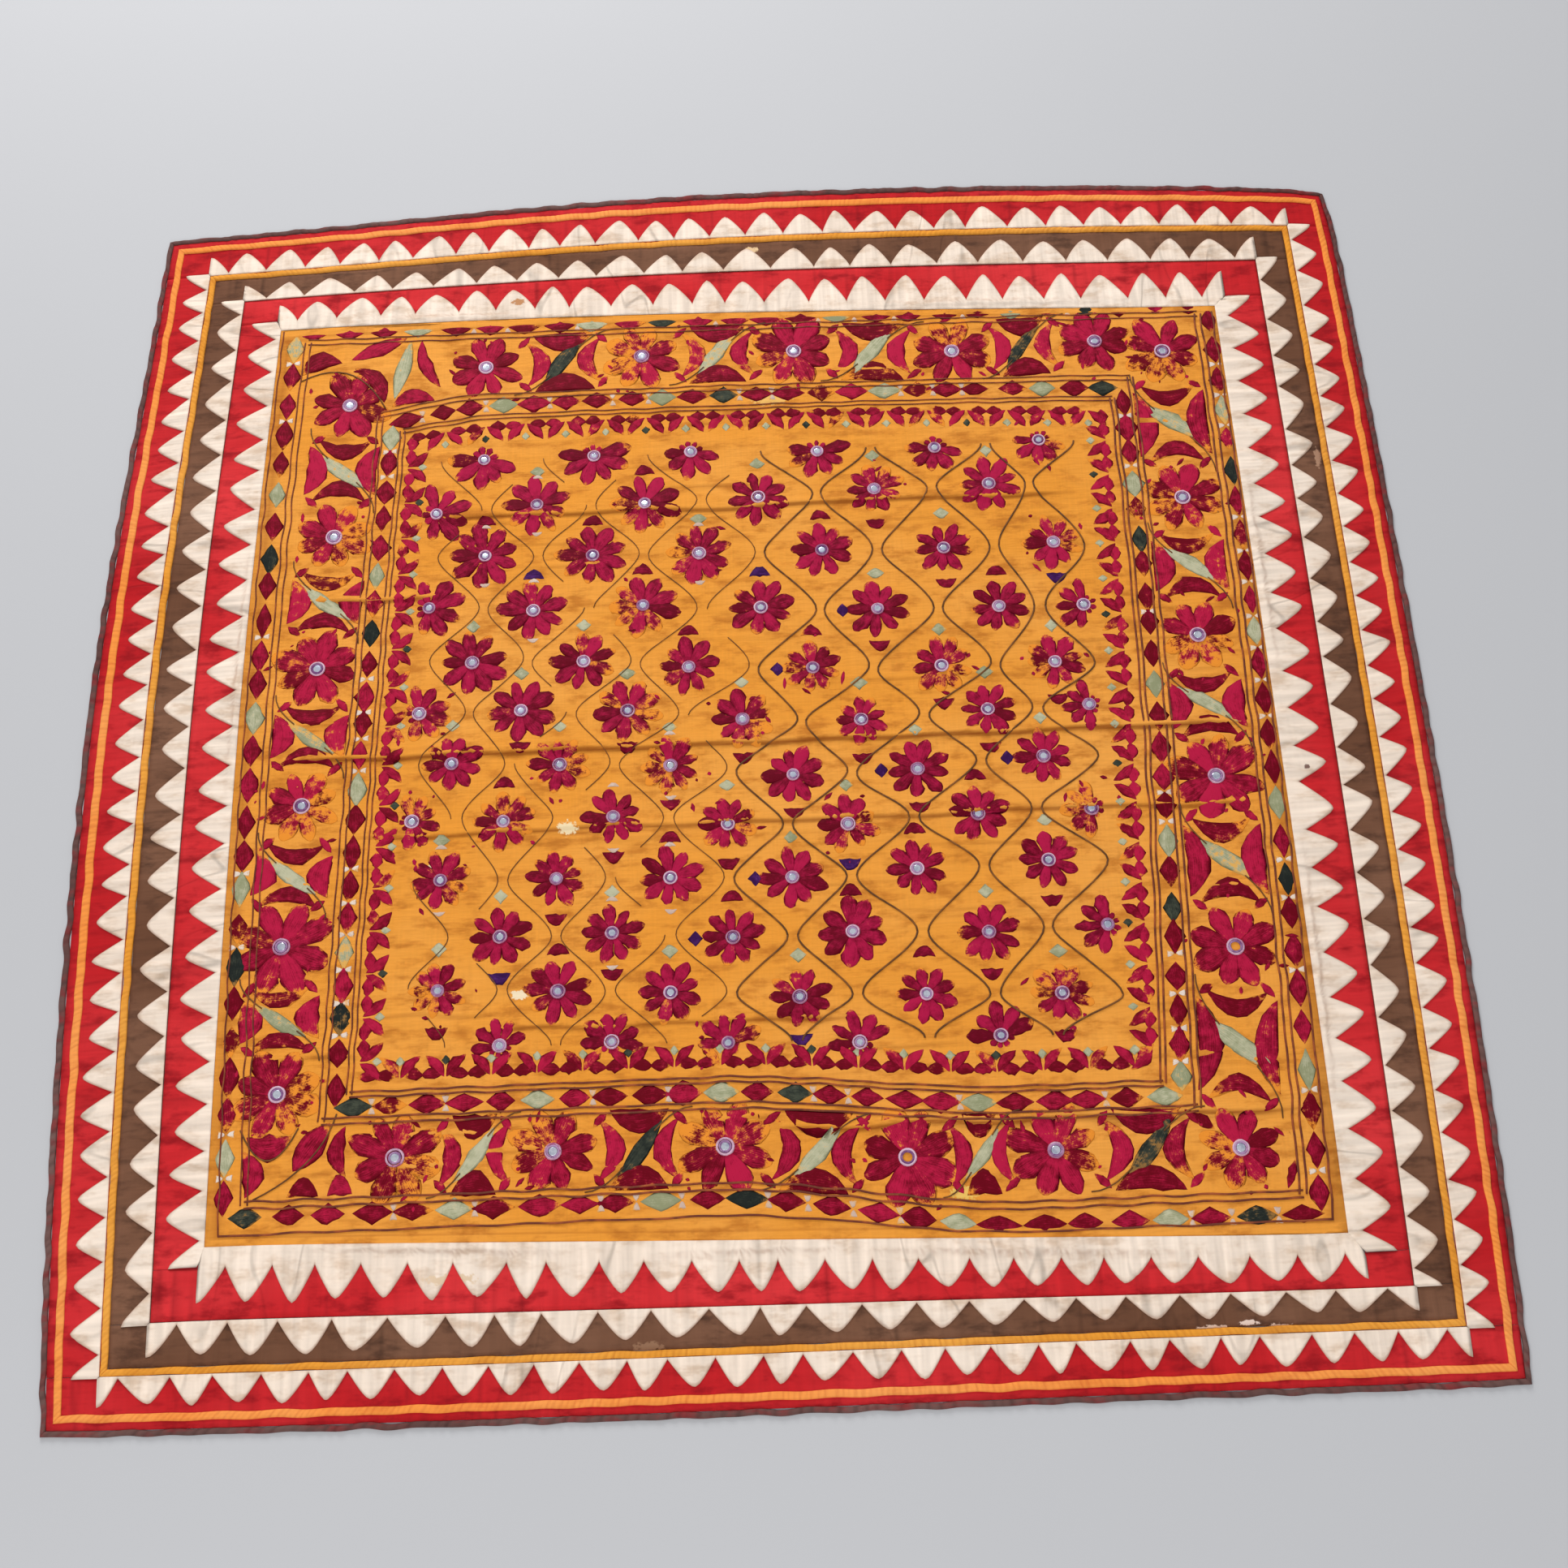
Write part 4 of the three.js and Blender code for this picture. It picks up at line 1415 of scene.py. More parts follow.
@dataclass
class Stitcher(Seeded):
    """Turns spines and widths into low domed patches of floss that lie on the cloth's relief."""

    petal_levels: Row = (0.0, 0.05, 0.25, 0.45, 0.62, 0.78, 0.9, 0.97, 1.0)
    even_levels: Row = (0.0, 0.04, 0.17, 0.34, 0.5, 0.66, 0.83, 0.96, 1.0)
    places: Row = (-1.0, -0.76, 0.0, 0.76, 1.0)
    crown: Row = (0.05, 0.86, 1.0, 0.86, 0.05)
    dome: float = 0.4
    worn_flat: float = 0.5
    sink: float = 0.5
    ragged: float = 0.13
    ragged_width: float = 12.0
    blunt: Pair = (3.0, 6.0)
    level_tone: float = 0.2
    upright_sheen: float = 0.55
    uneven_tone: float = 0.12
    seed: int = 29
    lofts: dict[Thread, Loft] = field(default_factory=dict)

    def add(self, thread: Thread, outline: Outline, start: Array, end: Array, width: Array, wear: Array,
            tone: Array | None = None, bend: Array | float = 0.0) -> None:
        """Add patches of one outline.

        A patch's spine runs from start to end and bows aside by a parabola; across it the upper face is a low
        dome whose ragged edges meet the cloth, with one place under it.

        Args:
            thread: floss of the patches.
            outline: their outline.
            start: spine starts, patches by 2, in plan millimetres.
            end: spine ends.
            width: widths.
            wear: how worn each is, from 0 to 1.
            tone: how bright each is, from 0 to 1; by default painted sheen from the direction that its
                stitches run, with a random spread.
            bend: bow of the spines to the left.
        """
        start, end = np.atleast_2d(start).astype(float), np.atleast_2d(end).astype(float)
        many, chord = len(start), end - start
        reach = np.hypot(chord[:, 0], chord[:, 1])
        # Painted sheen: upright stitches are brighter than level ones.
        if tone is None:
            tone = self.level_tone + self.upright_sheen * np.abs(chord[:, 1]) / reach
            tone = tone + self.draw.normal(0.0, self.uneven_tone, many)
        sizes = (np.asarray(value, float) for value in (width, wear, tone, bend))
        width, wear, tone, bend = (np.broadcast_to(value, (many,))[:, None, None] for value in sizes)
        blunt = self.draw.uniform(*self.blunt, (many, 1))
        share = np.array(self.petal_levels if outline is Outline.PETAL else self.even_levels)[None]
        aside = left_of(chord) / reach[:, None]
        bow = bend * (4.0 * share * (1.0 - share))[..., None]
        spine = start[:, None] + chord[:, None] * share[..., None] + aside[:, None] * bow
        shift, half = outline.widths(share, blunt)
        place = np.array(self.places)
        torn = self.draw.normal(0.0, 1.0, (many, share.size, place.size))
        torn = 1.0 + torn * (self.ragged * np.minimum(1.0, self.ragged_width / width))
        place = place * np.where(np.abs(place) == 1.0, torn, 1.0)
        offset = -(shift[..., None] + place * half[..., None]) * width
        middle = len(self.places) // 2
        offset = np.concatenate((offset, offset[..., middle:middle + 1]), -1)
        flat = spine[:, :, None] + aside[:, None, None] * offset[..., None]
        lift = np.sin(math.pi * np.clip(share, 0.03, 0.97)) ** 0.4
        dome = self.dome * (1.0 - self.worn_flat * wear) * lift[..., None] * np.append(self.crown, 0.0)
        dome[..., -1] = -self.sink
        points = PANEL.place(flat[..., 0], flat[..., 1], RELIEF.height(flat[..., 0], flat[..., 1]) + dome)
        across = np.append((np.array(self.places) + 1.0) / 2.0, 0.5)
        uv = join(across[None, None], share[..., None])[:, 1:-1]
        poles = np.stack((points[:, 0, middle], points[:, -1, middle]), 1)
        rings = points[:, 1:-1]
        values = {
            word: np.broadcast_to(np.clip(value, 0.0, 1.0), rings.shape[:3])
            for word, value in (("tone", tone), ("wear", wear))
        }
        loft = self.lofts.setdefault(thread, Loft(f"{thread.name.lower()}_embroidery"))
        loft.add(rings, poles, np.broadcast_to(uv, (*rings.shape[:3], 2)), values)

    def pieces(self) -> list[Piece]:
        """One finished piece for each floss."""
        return [loft.piece(thread.value, "floss_silk") for thread, loft in self.lofts.items()]


@dataclass
class Cords:
    """Couched lines of sewing thread that lie on the cloth."""

    name: str
    finish: ThreadFinish
    lift: float = 0.45
    flatness: float = 0.7
    around: int = 5

    def __post_init__(self) -> None:
        """Open the mesh that takes the lines."""
        self.loft = Loft(self.name)

    def add(self, path: Array, radius: float) -> None:
        """Add a line: a round section carried along a path of plan points at the height of the cloth."""
        aside = left_of(unit(np.gradient(path, axis=0)))
        angle = full_turn(self.around)
        flat = path[:, None] + aside[:, None] * (radius * np.cos(angle))[None, :, None]
        height = RELIEF.height(path[:, 0], path[:, 1])[:, None] + self.lift
        height = height + radius * self.flatness * np.sin(angle)
        rings = PANEL.place(flat[..., 0], flat[..., 1], height)[None]
        walked = np.concatenate(((0.0,), np.cumsum(steps(path)))) * MM
        uv = join(walked[:, None], angle[None] / TAU)[None]
        self.loft.add(rings, end_means(rings), uv)

    def piece(self) -> Piece:
        """Finished piece of all the lines."""
        return self.loft.piece(self.finish, "sewing_thread")


@dataclass
class Needlework(Seeded):
    """A group of stitching, with what takes its patches and its lines."""

    stitcher: Stitcher
    cords: Cords

    def patch(self, thread: Thread, outline: Outline, middle: Array, half: Array, *sizes: Array | float,
              bend: Array | float = 0.0) -> None:
        """Stitch patches by their middles and half spines, with their width, wear and, if set, tone."""
        self.stitcher.add(thread, outline, middle - half, middle + half, *sizes, bend=bend)


@dataclass
class FlowerWork(Needlework):
    """Stitching with round flowers, which is torn here and there."""

    petals: int = 9
    heart: float = 5.0
    fullness: float = 1.38
    cut_half: float = 0.42
    most_worn: float = 0.66
    shreds: int = 4
    shred_reach: Pair = (25.0, 41.0)
    shred_run: float = 3.2

    def torn(self, thread: Thread, places: Array) -> None:
        """Stitch torn shreds round each place, at seeded turns and between two distances."""
        angle, out = self.draw.uniform(0.0, 1.0, (2, self.shreds, len(places)))
        spot = (places + heading(TAU * angle) * lerp(*self.shred_reach, out)[..., None]).reshape(-1, 2)
        self.patch(thread, Outline.LEAF, spot, self.draw.normal(0.0, self.shred_run, spot.shape), 4.0, 0.2)

    def flowers(self, thread: Thread, places: Array, radius: Array, wear: Array,
                halves: Array | None = None) -> None:
        """Stitch a ring of petals round each place: petal k stands at k parts of a turn, out from the heart.

        Args:
            thread: floss of the petals.
            places: flower centres.
            radius: reach of each flower's petals.
            wear: wear of each flower.
            halves: direction of the half with whole petals, zero for a whole flower.
        """
        one, every = (len(places), 1), (len(places), self.petals)
        turn, draw = TAU / self.petals, self.draw
        angle = turn * (np.arange(self.petals) + 0.5)[None] + draw.normal(0.0, 0.05, one)
        angle = angle + draw.normal(0.0, 0.045, every)
        reach = radius[:, None] * draw.normal(1.0, 0.04, one) * draw.normal(1.0, 0.06, every)
        course = heading(angle)
        if halves is not None:
            reach = reach * np.where((course * halves[:, None]).sum(-1) > -0.25, 1.0, self.cut_half)
        start = places[:, None] + self.heart * course
        end = places[:, None] + reach[..., None] * course
        width = self.fullness * reach * math.tan(turn / 2.0) * draw.normal(1.0, 0.06, every)
        lop = np.cos(angle - draw.uniform(0.0, TAU, one))
        worn = wear[:, None] * (1.0 + 0.5 * lop) + draw.normal(0.0, 0.12, every)
        worn = np.clip(worn, 0.0, self.most_worn)
        # Painted sheen: upright petals are brighter than level ones, with a random spread.
        tone = 0.15 + 0.6 * np.abs(course[..., 1]) + draw.normal(0.0, 0.15, every)
        flat = (start.reshape(-1, 2), end.reshape(-1, 2), width.ravel(), worn.ravel(), tone.ravel())
        self.stitcher.add(thread, Outline.PETAL, *flat)


@dataclass(frozen=True)
class Accent:
    """A small patch beside a flower: its distance, half length, width, share of its wear, and chance."""

    away: float
    half: float
    width: float
    wear: float
    chance: float


@dataclass
class Field(FlowerWork):
    """The field: staggered rows of flowers in a waved trellis, drifting to the left down the cloth.

    Odd and even rows have columns of their own, each given by its place across at the top and at the bottom;
    a row is given by its place up at the left and at the right. Worn flowers are given by row and column.
    """

    seed: int = 41
    odd: Pairs = ((-285, -316), (-170, -206), (-64, -95), (68, 24), (196, 146), (306, 274))
    even: Pairs = ((-338, -352), (-229, -258), (-118, -153), (4, -38), (126, 81), (248, 211), (332, 322))
    rows: Pairs = (
        (341, 333), (276, 284), (222, 206), (163, 132), (102, 66), (42, 16),
        (-16, -38), (-76, -93), (-144, -149), (-201, -218), (-252, -288), (-311, -326),
    )
    worn: Pairs = ((5, 4), (7, 2), (7, 3), (8, 2), (9, 1), (11, 1))
    half_worn: Pairs = (
        (1, 6), (2, 3), (2, 5), (3, 3), (3, 6), (4, 3), (5, 5), (5, 6), (6, 1), (6, 3), (6, 4), (8, 1),
        (8, 4), (8, 5), (8, 7), (11, 6), (12, 4),
    )
    last_left_half: int = 9
    bare_right: tuple[int, ...] = (2, 12)
    sag: float = 15.0
    half_width: float = 350.0
    drift: Pair = (3.5, 8.0)
    low_radius: float = 30.5
    high_radius: Pair = (36.5, 32.0)
    torn_from: float = 0.27
    neck: float = 4.8
    last_neck: float = 14.0
    sharpness: float = 0.78
    strand: int = 6
    left_until: float = -20.0
    left_kept: float = 0.8
    left_thread: float = 0.5
    thread: float = 1.0
    leaf: Accent = Accent(42.0, 8.0, 14.0, 0.7, 0.85)
    cap: Accent = Accent(37.0, 11.0, 12.0, 0.5, 0.6)
    bud: Accent = Accent(36.0, 8.0, 14.0, 0.4, 0.12)
    arc: Accent = Accent(33.0, 6.0, 5.0, 0.4, 0.3)
    leaf_uneven: float = 1.5
    left_cap_chance: float = 0.3
    over_chance: float = 0.24
    dark_chance: float = 0.15

    def column_at(self, column: Pair, row: Array | float) -> Array:
        """Place across of a column at a row, counted from 1."""
        return lerp(*column, smoothstep(np.asarray(row, float), *self.drift))

    def row_at(self, row: Array | float, x: Array) -> Array:
        """Place up of a row, counted from 1 and with parts of rows between: the middle ones sag in a bell."""
        share = np.clip((x + self.half_width) / (2.0 * self.half_width), 0.0, 1.0)
        order = np.arange(1, len(self.rows) + 1)
        left, right = (np.interp(row, order, ends) for ends in zip(*self.rows))
        sag = self.sag * np.exp(-((row - 7.0) / 2.6) ** 2 - ((x - 50.0) / 130.0) ** 2)
        return lerp(left, right, share) - sag

    def centres(self) -> tuple[Array, Array, Array]:
        """Flower centres, the direction of each one's half if it is cut by the field's edge, and its wear.

        Returns:
            Plan places, directions that are zero for a whole flower, and wear from 0 to 1.
        """
        places, halves, wear = [], [], []
        last = len(self.rows)
        for row in range(1, last + 1):
            columns = self.odd if row % 2 else self.even
            for index, column in enumerate(columns):
                left, right = (row % 2 == 0 and index == end for end in (0, len(columns) - 1))
                if (left and row > self.last_left_half) or (right and row in self.bare_right):
                    continue
                half = (float(left) - float(right), 0.0)
                if row in (1, last):
                    half = (0.0, -1.0 if row == 1 else 1.0)
                x = float(self.column_at(column, row))
                places.append((x, float(self.row_at(row, x))))
                halves.append(half)
                key = (row, index + 1)
                wear.append(0.34 * (key in self.worn) + 0.24 * (key in self.half_worn))
        places = np.array(places) + self.draw.normal(0.0, 2.0, (len(places), 2))
        return places, np.array(halves), np.array(wear) + self.draw.uniform(0.08, 0.24, len(places))

    def trellis(self) -> None:
        """Waved lines either side of each even column, close at its odd rows and wide at its even ones."""
        last = len(self.rows)
        row = np.linspace(1.0, last, 2 * self.strand * (last - 1) + 1)
        wave = np.arcsin(self.sharpness * np.cos(math.pi * row)) / math.asin(self.sharpness)
        for index, column in enumerate(self.even):
            for sign in (-1, 1):
                beside = index + sign
                if not 0 <= beside < len(self.even):
                    continue
                middle = self.column_at(column, row)
                far = (middle + self.column_at(self.even[beside], row)) / 2.0 - sign * self.neck
                near = middle + sign * self.neck + self.last_neck * (index == len(self.even) - 1)
                x = lerp(near, far, 0.5 + 0.5 * wave) + 1.2 * ripple(row, 60 + index, 3)
                path = join(x, self.row_at(row, x))
                on_left = x.mean() < self.left_until
                kept, thread = (self.left_kept, self.left_thread) if on_left else (1.0, self.thread)
                for first in range(0, len(row) - 1, self.strand):
                    if self.draw.random() < kept:
                        self.cords.add(path[first:first + self.strand + 1], thread)

    def stitch(self) -> Array:
        """Stitch the flowers with their leaves and caps, and the trellis.

        Returns:
            Places of the flowers' mirrors.
        """
        places, halves, wear = self.centres()
        high = lerp(*self.high_radius, smoothstep(places[:, 0], -120.0, 150.0))
        radius = lerp(self.low_radius, high, smoothstep(places[:, 1], -90.0, 170.0))
        self.flowers(Thread.MAGENTA, places, radius, wear, halves)
        whole = ~halves.any(1)
        self.accents(places[whole], wear[whole])
        self.torn(Thread.MAGENTA, places[wear > self.torn_from])
        self.trellis()
        return places

    def accents(self, places: Array, wear: Array) -> None:
        """Pale leaves over the flowers, dark half-moon caps under them, and a few buds and white arcs."""
        across, up = np.array((1.0, 0.0)), np.array((0.0, 1.0))
        leaf, cap, bud, arc = self.leaf, self.cap, self.bud, self.arc
        chance = self.draw.random((len(places), 4))
        right = places[:, 0] > -40.0
        over = chance[:, 1] > 1.0 - self.over_chance
        some = (chance[:, 0] < leaf.chance) & ~over
        size = self.draw.uniform(leaf.half - self.leaf_uneven, leaf.half + self.leaf_uneven, (some.sum(), 1))
        self.patch(Thread.PALE_GREEN, Outline.DIAMOND, places[some] + up * leaf.away, across * size,
                   leaf.width, wear[some] * leaf.wear, self.draw.uniform(0.2, 0.9, some.sum()))
        under = chance[:, 1] < np.where(right, cap.chance, self.left_cap_chance)
        for sign, some in ((-1.0, under), (1.0, over)):
            dark = self.draw.random(len(places)) < self.dark_chance
            for thread, chosen in ((Thread.MAGENTA, some & ~dark), (Thread.PURPLE, some & dark)):
                self.patch(thread, Outline.HALF_MOON, places[chosen] + up * cap.away * sign,
                           -across * cap.half * sign, cap.width, wear[chosen] * cap.wear, 0.25)
        some = chance[:, 2] < bud.chance
        self.patch(Thread.PURPLE, Outline.DIAMOND, places[some] - across * bud.away, up * bud.half, bud.width,
                   wear[some] * bud.wear, 0.2)
        some = (chance[:, 3] < arc.chance) & ~right
        for sign in (-1.0, 1.0):
            self.patch(Thread.WHITE, Outline.LEAF, places[some] + up * arc.away * sign, across * arc.half,
                       arc.width, wear[some] * arc.wear, bend=2.5 * sign)


@dataclass
class MainBorder(FlowerWork):
    """The main border: a ring of large flowers with crossed-leaf motifs between them.

    Patches of the corners are given by both ends of their spines and their width, stems by three points.
    """

    seed: int = 53
    petals: int = 8
    shreds: int = 7
    shred_reach: Pair = (34.0, 56.0)
    mirrors: tuple[int, ...] = (7, 4, 6, 5)
    radius: float = 43.0
    uneven_radius: float = 1.5
    least_reach: float = 120.0
    straight: float = 0.88
    dark_leaves: tuple[int, ...] = (1, 4, 11, 14)
    corner_moons: tuple[Row, ...] = (
        (-446, 474, -489, 460, 24), (-398, 420, -432, 466, 20), (-359, 500, -337, 437, 14),
        (-343, 420, -389, 414, 20), (-492, -391, -450, -391, 25), (-490, -448, -496, -404, 20),
        (-400, -384, -398, -432, 17), (-422, -449, -451, -449, 19), (-391, -448, -414, -449, 20),
    )
    corner_leaves: tuple[Row, ...] = (
        (-436, 478, -376, 504, 20), (-447, -425, -415, -380, 27), (384, -404, 402, -420, 11),
        (462, -478, 472, -452, 9),
    )
    corner_stems: tuple[Row, ...] = (
        (-482, -450, -422, -422, -409, -372), (-498, -384, -471, -444, -444, -384),
        (-490, 452, -432, 486, -396, 412),
    )
    pale_leaf: Row = (-387, 424, -371, 500, 17)
    stem: float = 0.8
    motif_stem: float = 0.7
    moon_foot: Pair = (39.0, 44.0)
    moon_width: Pair = (16.0, 20.0)
    moon_bow: Pair = (5.0, 8.0)
    moon_half: float = 29.0
    line_moon: float = 24.0

    def nodes(self, side: Side) -> list[str]:
        """Names of the CAD nodes of one side's mirrors."""
        return [f"mirror_{side.word}_{order + 1}" for order in range(self.mirrors[side.value])]

    def stitch(self) -> Array:
        """Stitch the flowers, the motifs between them and the leaves that fill the corners.

        Returns:
            Places of the flowers' mirrors, which are those of their solids.
        """
        middles = np.array([middle_of(node) for side in Side for node in self.nodes(side)])
        places = (middles - PANEL.offset()) / MM
        wear = 0.2 + 0.5 * self.draw.beta(0.9, 2.2, len(places)) + 0.1 * (places.min(1) < -380.0)
        wear -= 0.07 * (places[:, 1] > 380.0)
        radius = self.draw.normal(self.radius, self.uneven_radius, len(places))
        self.flowers(Thread.WINE, places, radius, wear)
        self.torn(Thread.WINE, places)
        for index, (here, there) in enumerate(zip(places, np.roll(places, -1, axis=0))):
            reach = math.dist(here, there)
            straight = np.abs(there - here).max() > self.straight * reach
            if index and reach > self.least_reach and straight:
                self.motif(here, there, index)
        for outline, table in ((Outline.HALF_MOON, self.corner_moons), (Outline.LEAF, self.corner_leaves)):
            corner = np.array(table)
            self.stitcher.add(Thread.WINE, outline, corner[:, :2], corner[:, 2:4], corner[:, 4], 0.22,
                              self.draw.uniform(0.1, 0.7, len(corner)))
        pale = self.pale_leaf
        self.stitcher.add(Thread.PALE_GREEN, Outline.LEAF, pale[:2], pale[2:4], pale[4], 0.4, 0.6)
        share = np.linspace(0.0, 1.0, 12)[:, None]
        for stem in np.array(self.corner_stems, float):
            first, second = lerp(stem[:2], stem[2:4], share), lerp(stem[2:4], stem[4:], share)
            self.cords.add(lerp(first, second, share), self.stem)
        return places

    def motif(self, here: Array, there: Array, index: int) -> None:
        """Crossed leaves between two flowers: four half-moons with their rounds inwards, and a slanted leaf.

        The half-moons follow the flowers' rounds or lie along the lines; a stem waves from corner to corner.

        Args:
            here: centre of the flower before it.
            there: centre of the flower after it.
            index: the motif's place round the border.
        """
        middle, chord = (here + there) / 2.0, there - here
        reach = math.hypot(*chord)
        course = chord / reach
        aside = left_of(course)
        wear = 0.14 + 0.45 * self.draw.beta(0.9, 2.2, 4)
        long_half = max(16.0, reach / 2.0 - 52.0)
        room = float(np.clip((reach - 140.0) / 30.0, 0.0, 1.0))
        for turn, (flower, sign) in enumerate(((here, 1.0), (there, -1.0))):
            foot = flower + course * sign * lerp(*self.moon_foot, room)
            self.patch(Thread.WINE, Outline.HALF_MOON, foot, aside * sign * self.moon_half,
                       lerp(*self.moon_width, room), wear[turn], bend=-lerp(*self.moon_bow, room))
            foot = middle + aside * sign * 38.0
            self.patch(Thread.WINE, Outline.HALF_MOON, foot, course * sign * long_half, self.line_moon,
                       wear[2 + turn])
        half = 0.21 * reach + 4.0 * room
        slant = course * 0.6 * half + aside * 0.82 * half
        thread = Thread.DARK_GREEN if index in self.dark_leaves else Thread.PALE_GREEN
        self.patch(thread, Outline.LEAF, middle, slant, 0.44 * half, self.draw.uniform(0.25, 0.6),
                   self.draw.uniform(0.3, 0.8), bend=2.0)
        end, side = np.array(((-1.0, -1.0), (-1.0, 1.0), (1.0, -1.0), (1.0, 1.0))).T[..., None]
        foot = middle + course * end * (long_half + 3.0) + aside * side * 36.0
        tip = foot + course * end * self.draw.uniform(9.0, 17.0, (4, 1)) - aside * side * 14.0
        self.stitcher.add(Thread.WINE, Outline.LEAF, foot, tip, 8.0, 0.3)
        wave = np.linspace(-1.0, 1.0, 15)[:, None]
        stem = middle + course * wave * (reach / 2.0 - 30.0) + aside * 39.0 * np.sin(0.5 * math.pi * wave)
        for part in (stem[:6], stem[9:]):
            self.cords.add(part, self.motif_stem)


@dataclass
class Guards(Needlework):
    """The narrow bands: rows of diamonds in the guards, leaves in the edging and the dark lines between."""

    seed: int = 67
    outer_pitch: float = 38.0
    outer_size: Pair = (36.0, 20.0)
    inner_pitch: float = 34.5
    inner_size: Pair = (34.0, 21.0)
    edging_pitch: float = 43.0
    leaf_run: float = 18.0
    leaf_drop: float = 21.0
    line_step: float = 9.0
    thin_line: float = 0.8
    thick_line: float = 1.1
    sway: float = 0.9
    pattern: int = 12
    pale_turns: tuple[int, ...] = (3, 8)
    dark_turns: tuple[int, ...] = (10,)
    crumbs: float = 0.45
    most_worn: float = 0.7

    def lines(self) -> None:
        """Couch the dark lines of the frames, some of them double."""
        pairs = ((HEM_LINE, 0.0), (OUTER_LINE, 6.5), (INNER_LINE, 6.0), (EDGING_LINE, 5.0))
        for index, (line, pair) in enumerate(pairs):
            for side in Side:
                if line is HEM_LINE and side is Side.TOP:
                    continue
                many = int(line.length(side) / self.line_step)
                path = line.along(side, np.linspace(0.0, 1.0, many))
                sway = self.sway * ripple(np.linspace(0.0, many / 6.0, many), 90 + 4 * index + side.value, 3)
                path = path + side.outward * sway[:, None]
                thick = self.thin_line if side in (Side.TOP, Side.LEFT) else self.thick_line
                for offset in ((-pair / 2.0, pair / 2.0) if pair else (0.0,)):
                    self.cords.add(path + side.outward * offset, thick)

    def diamonds(self, line: StitchedFrame, pitch: float, size: Pair) -> None:
        """Stitch a chain of diamonds along each side, some of them green, with white crumbs between some.

        Args:
            line: middle line of the guard.
            pitch: distance from diamond to diamond.
            size: length along the guard and width across it.
        """
        for side in Side:
            many, out = round(line.length(side) / pitch), side.outward
            share = (np.arange(many) + 0.5 + self.draw.normal(0.0, 0.05, many)) / many
            place, course = line.along(side, share), line.course(side, share)
            half = course * (0.5 * size[0] * self.draw.normal(1.0, 0.07, (many, 1)))
            wide = size[1] * self.draw.normal(1.0, 0.08, many)
            order = (np.arange(many) + 5 * side.value) % self.pattern
            wear = self.draw.beta(1.0, 2.8, many) * self.most_worn
            pale, dark = np.isin(order, self.pale_turns), np.isin(order, self.dark_turns)
            for thread, some in (
                (Thread.PALE_GREEN, pale), (Thread.DARK_GREEN, dark), (Thread.WINE, ~pale & ~dark),
            ):
                tone = self.draw.uniform(0.05, 0.65, some.sum())
                self.patch(thread, Outline.DIAMOND, place[some], half[some], wide[some], wear[some], tone)
            between = line.along(side, share + 0.5 / many)
            crumb = self.draw.random(many) < self.crumbs
            crumb[-1] = False
            for sign in (-1.0, 1.0):
                self.patch(Thread.WHITE, Outline.HALF_MOON, between[crumb] + out * 7.5 * sign,
                           -left_of(out) * 3.4 * sign, 6.5, 0.5)

    def edging(self) -> None:
        """Stitch the edging: a pair of leaves end to end by the line, then a pair that opens to the field."""
        for side in Side:
            length, out = EDGING.length(side), side.outward
            many = round(length / self.edging_pitch)
            share = (np.arange(many) + 0.5) / many
            place, course = EDGING.along(side, share), EDGING.course(side, share)
            quarter = course * (0.25 * length / many)
            wear = self.draw.beta(1.1, 2.4, (4, many)) * self.most_worn
            for sign, worn in ((-1.0, wear[0]), (1.0, wear[1])):
                foot = place - quarter + out * 4.0
                tip = foot + course * sign * self.leaf_run
                self.stitcher.add(Thread.WINE, Outline.LEAF, foot - course * sign, tip, 12.0, worn,
                                  bend=1.2 * sign)
            for sign, worn in ((-1.0, wear[2]), (1.0, wear[3])):
                peak = place + quarter + out * 6.0 + course * sign
                foot = peak + course * sign * self.leaf_run - out * self.leaf_drop
                self.stitcher.add(Thread.WINE, Outline.LEAF, peak, foot, 11.0, worn, bend=2.0 * sign)
            notch = place + quarter - out * 10.0
            dark = np.arange(many) % 4 == 1
            for thread, some in ((Thread.PALE_GREEN, ~dark), (Thread.DARK_GREEN, dark)):
                self.patch(thread, Outline.DIAMOND, notch[some], out * 5.0, 9.0, 0.25, 0.6)

    def stitch(self) -> None:
        """Stitch both guards, the edging and the lines."""
        self.diamonds(OUTER_GUARD, self.outer_pitch, self.outer_size)
        self.diamonds(INNER_GUARD, self.inner_pitch, self.inner_size)
        self.edging()
        self.lines()


@dataclass(frozen=True)
class Ring:
    """A bead of stitching round a mirror: its reach, thickness, rise and how many stitches go round."""

    name: str
    finish: FlossFinish
    reach: float
    thick: float
    rise: float
    lift: float = 0.6
    stitches: int = 18
    around: int = 5
    uneven: float = 0.12


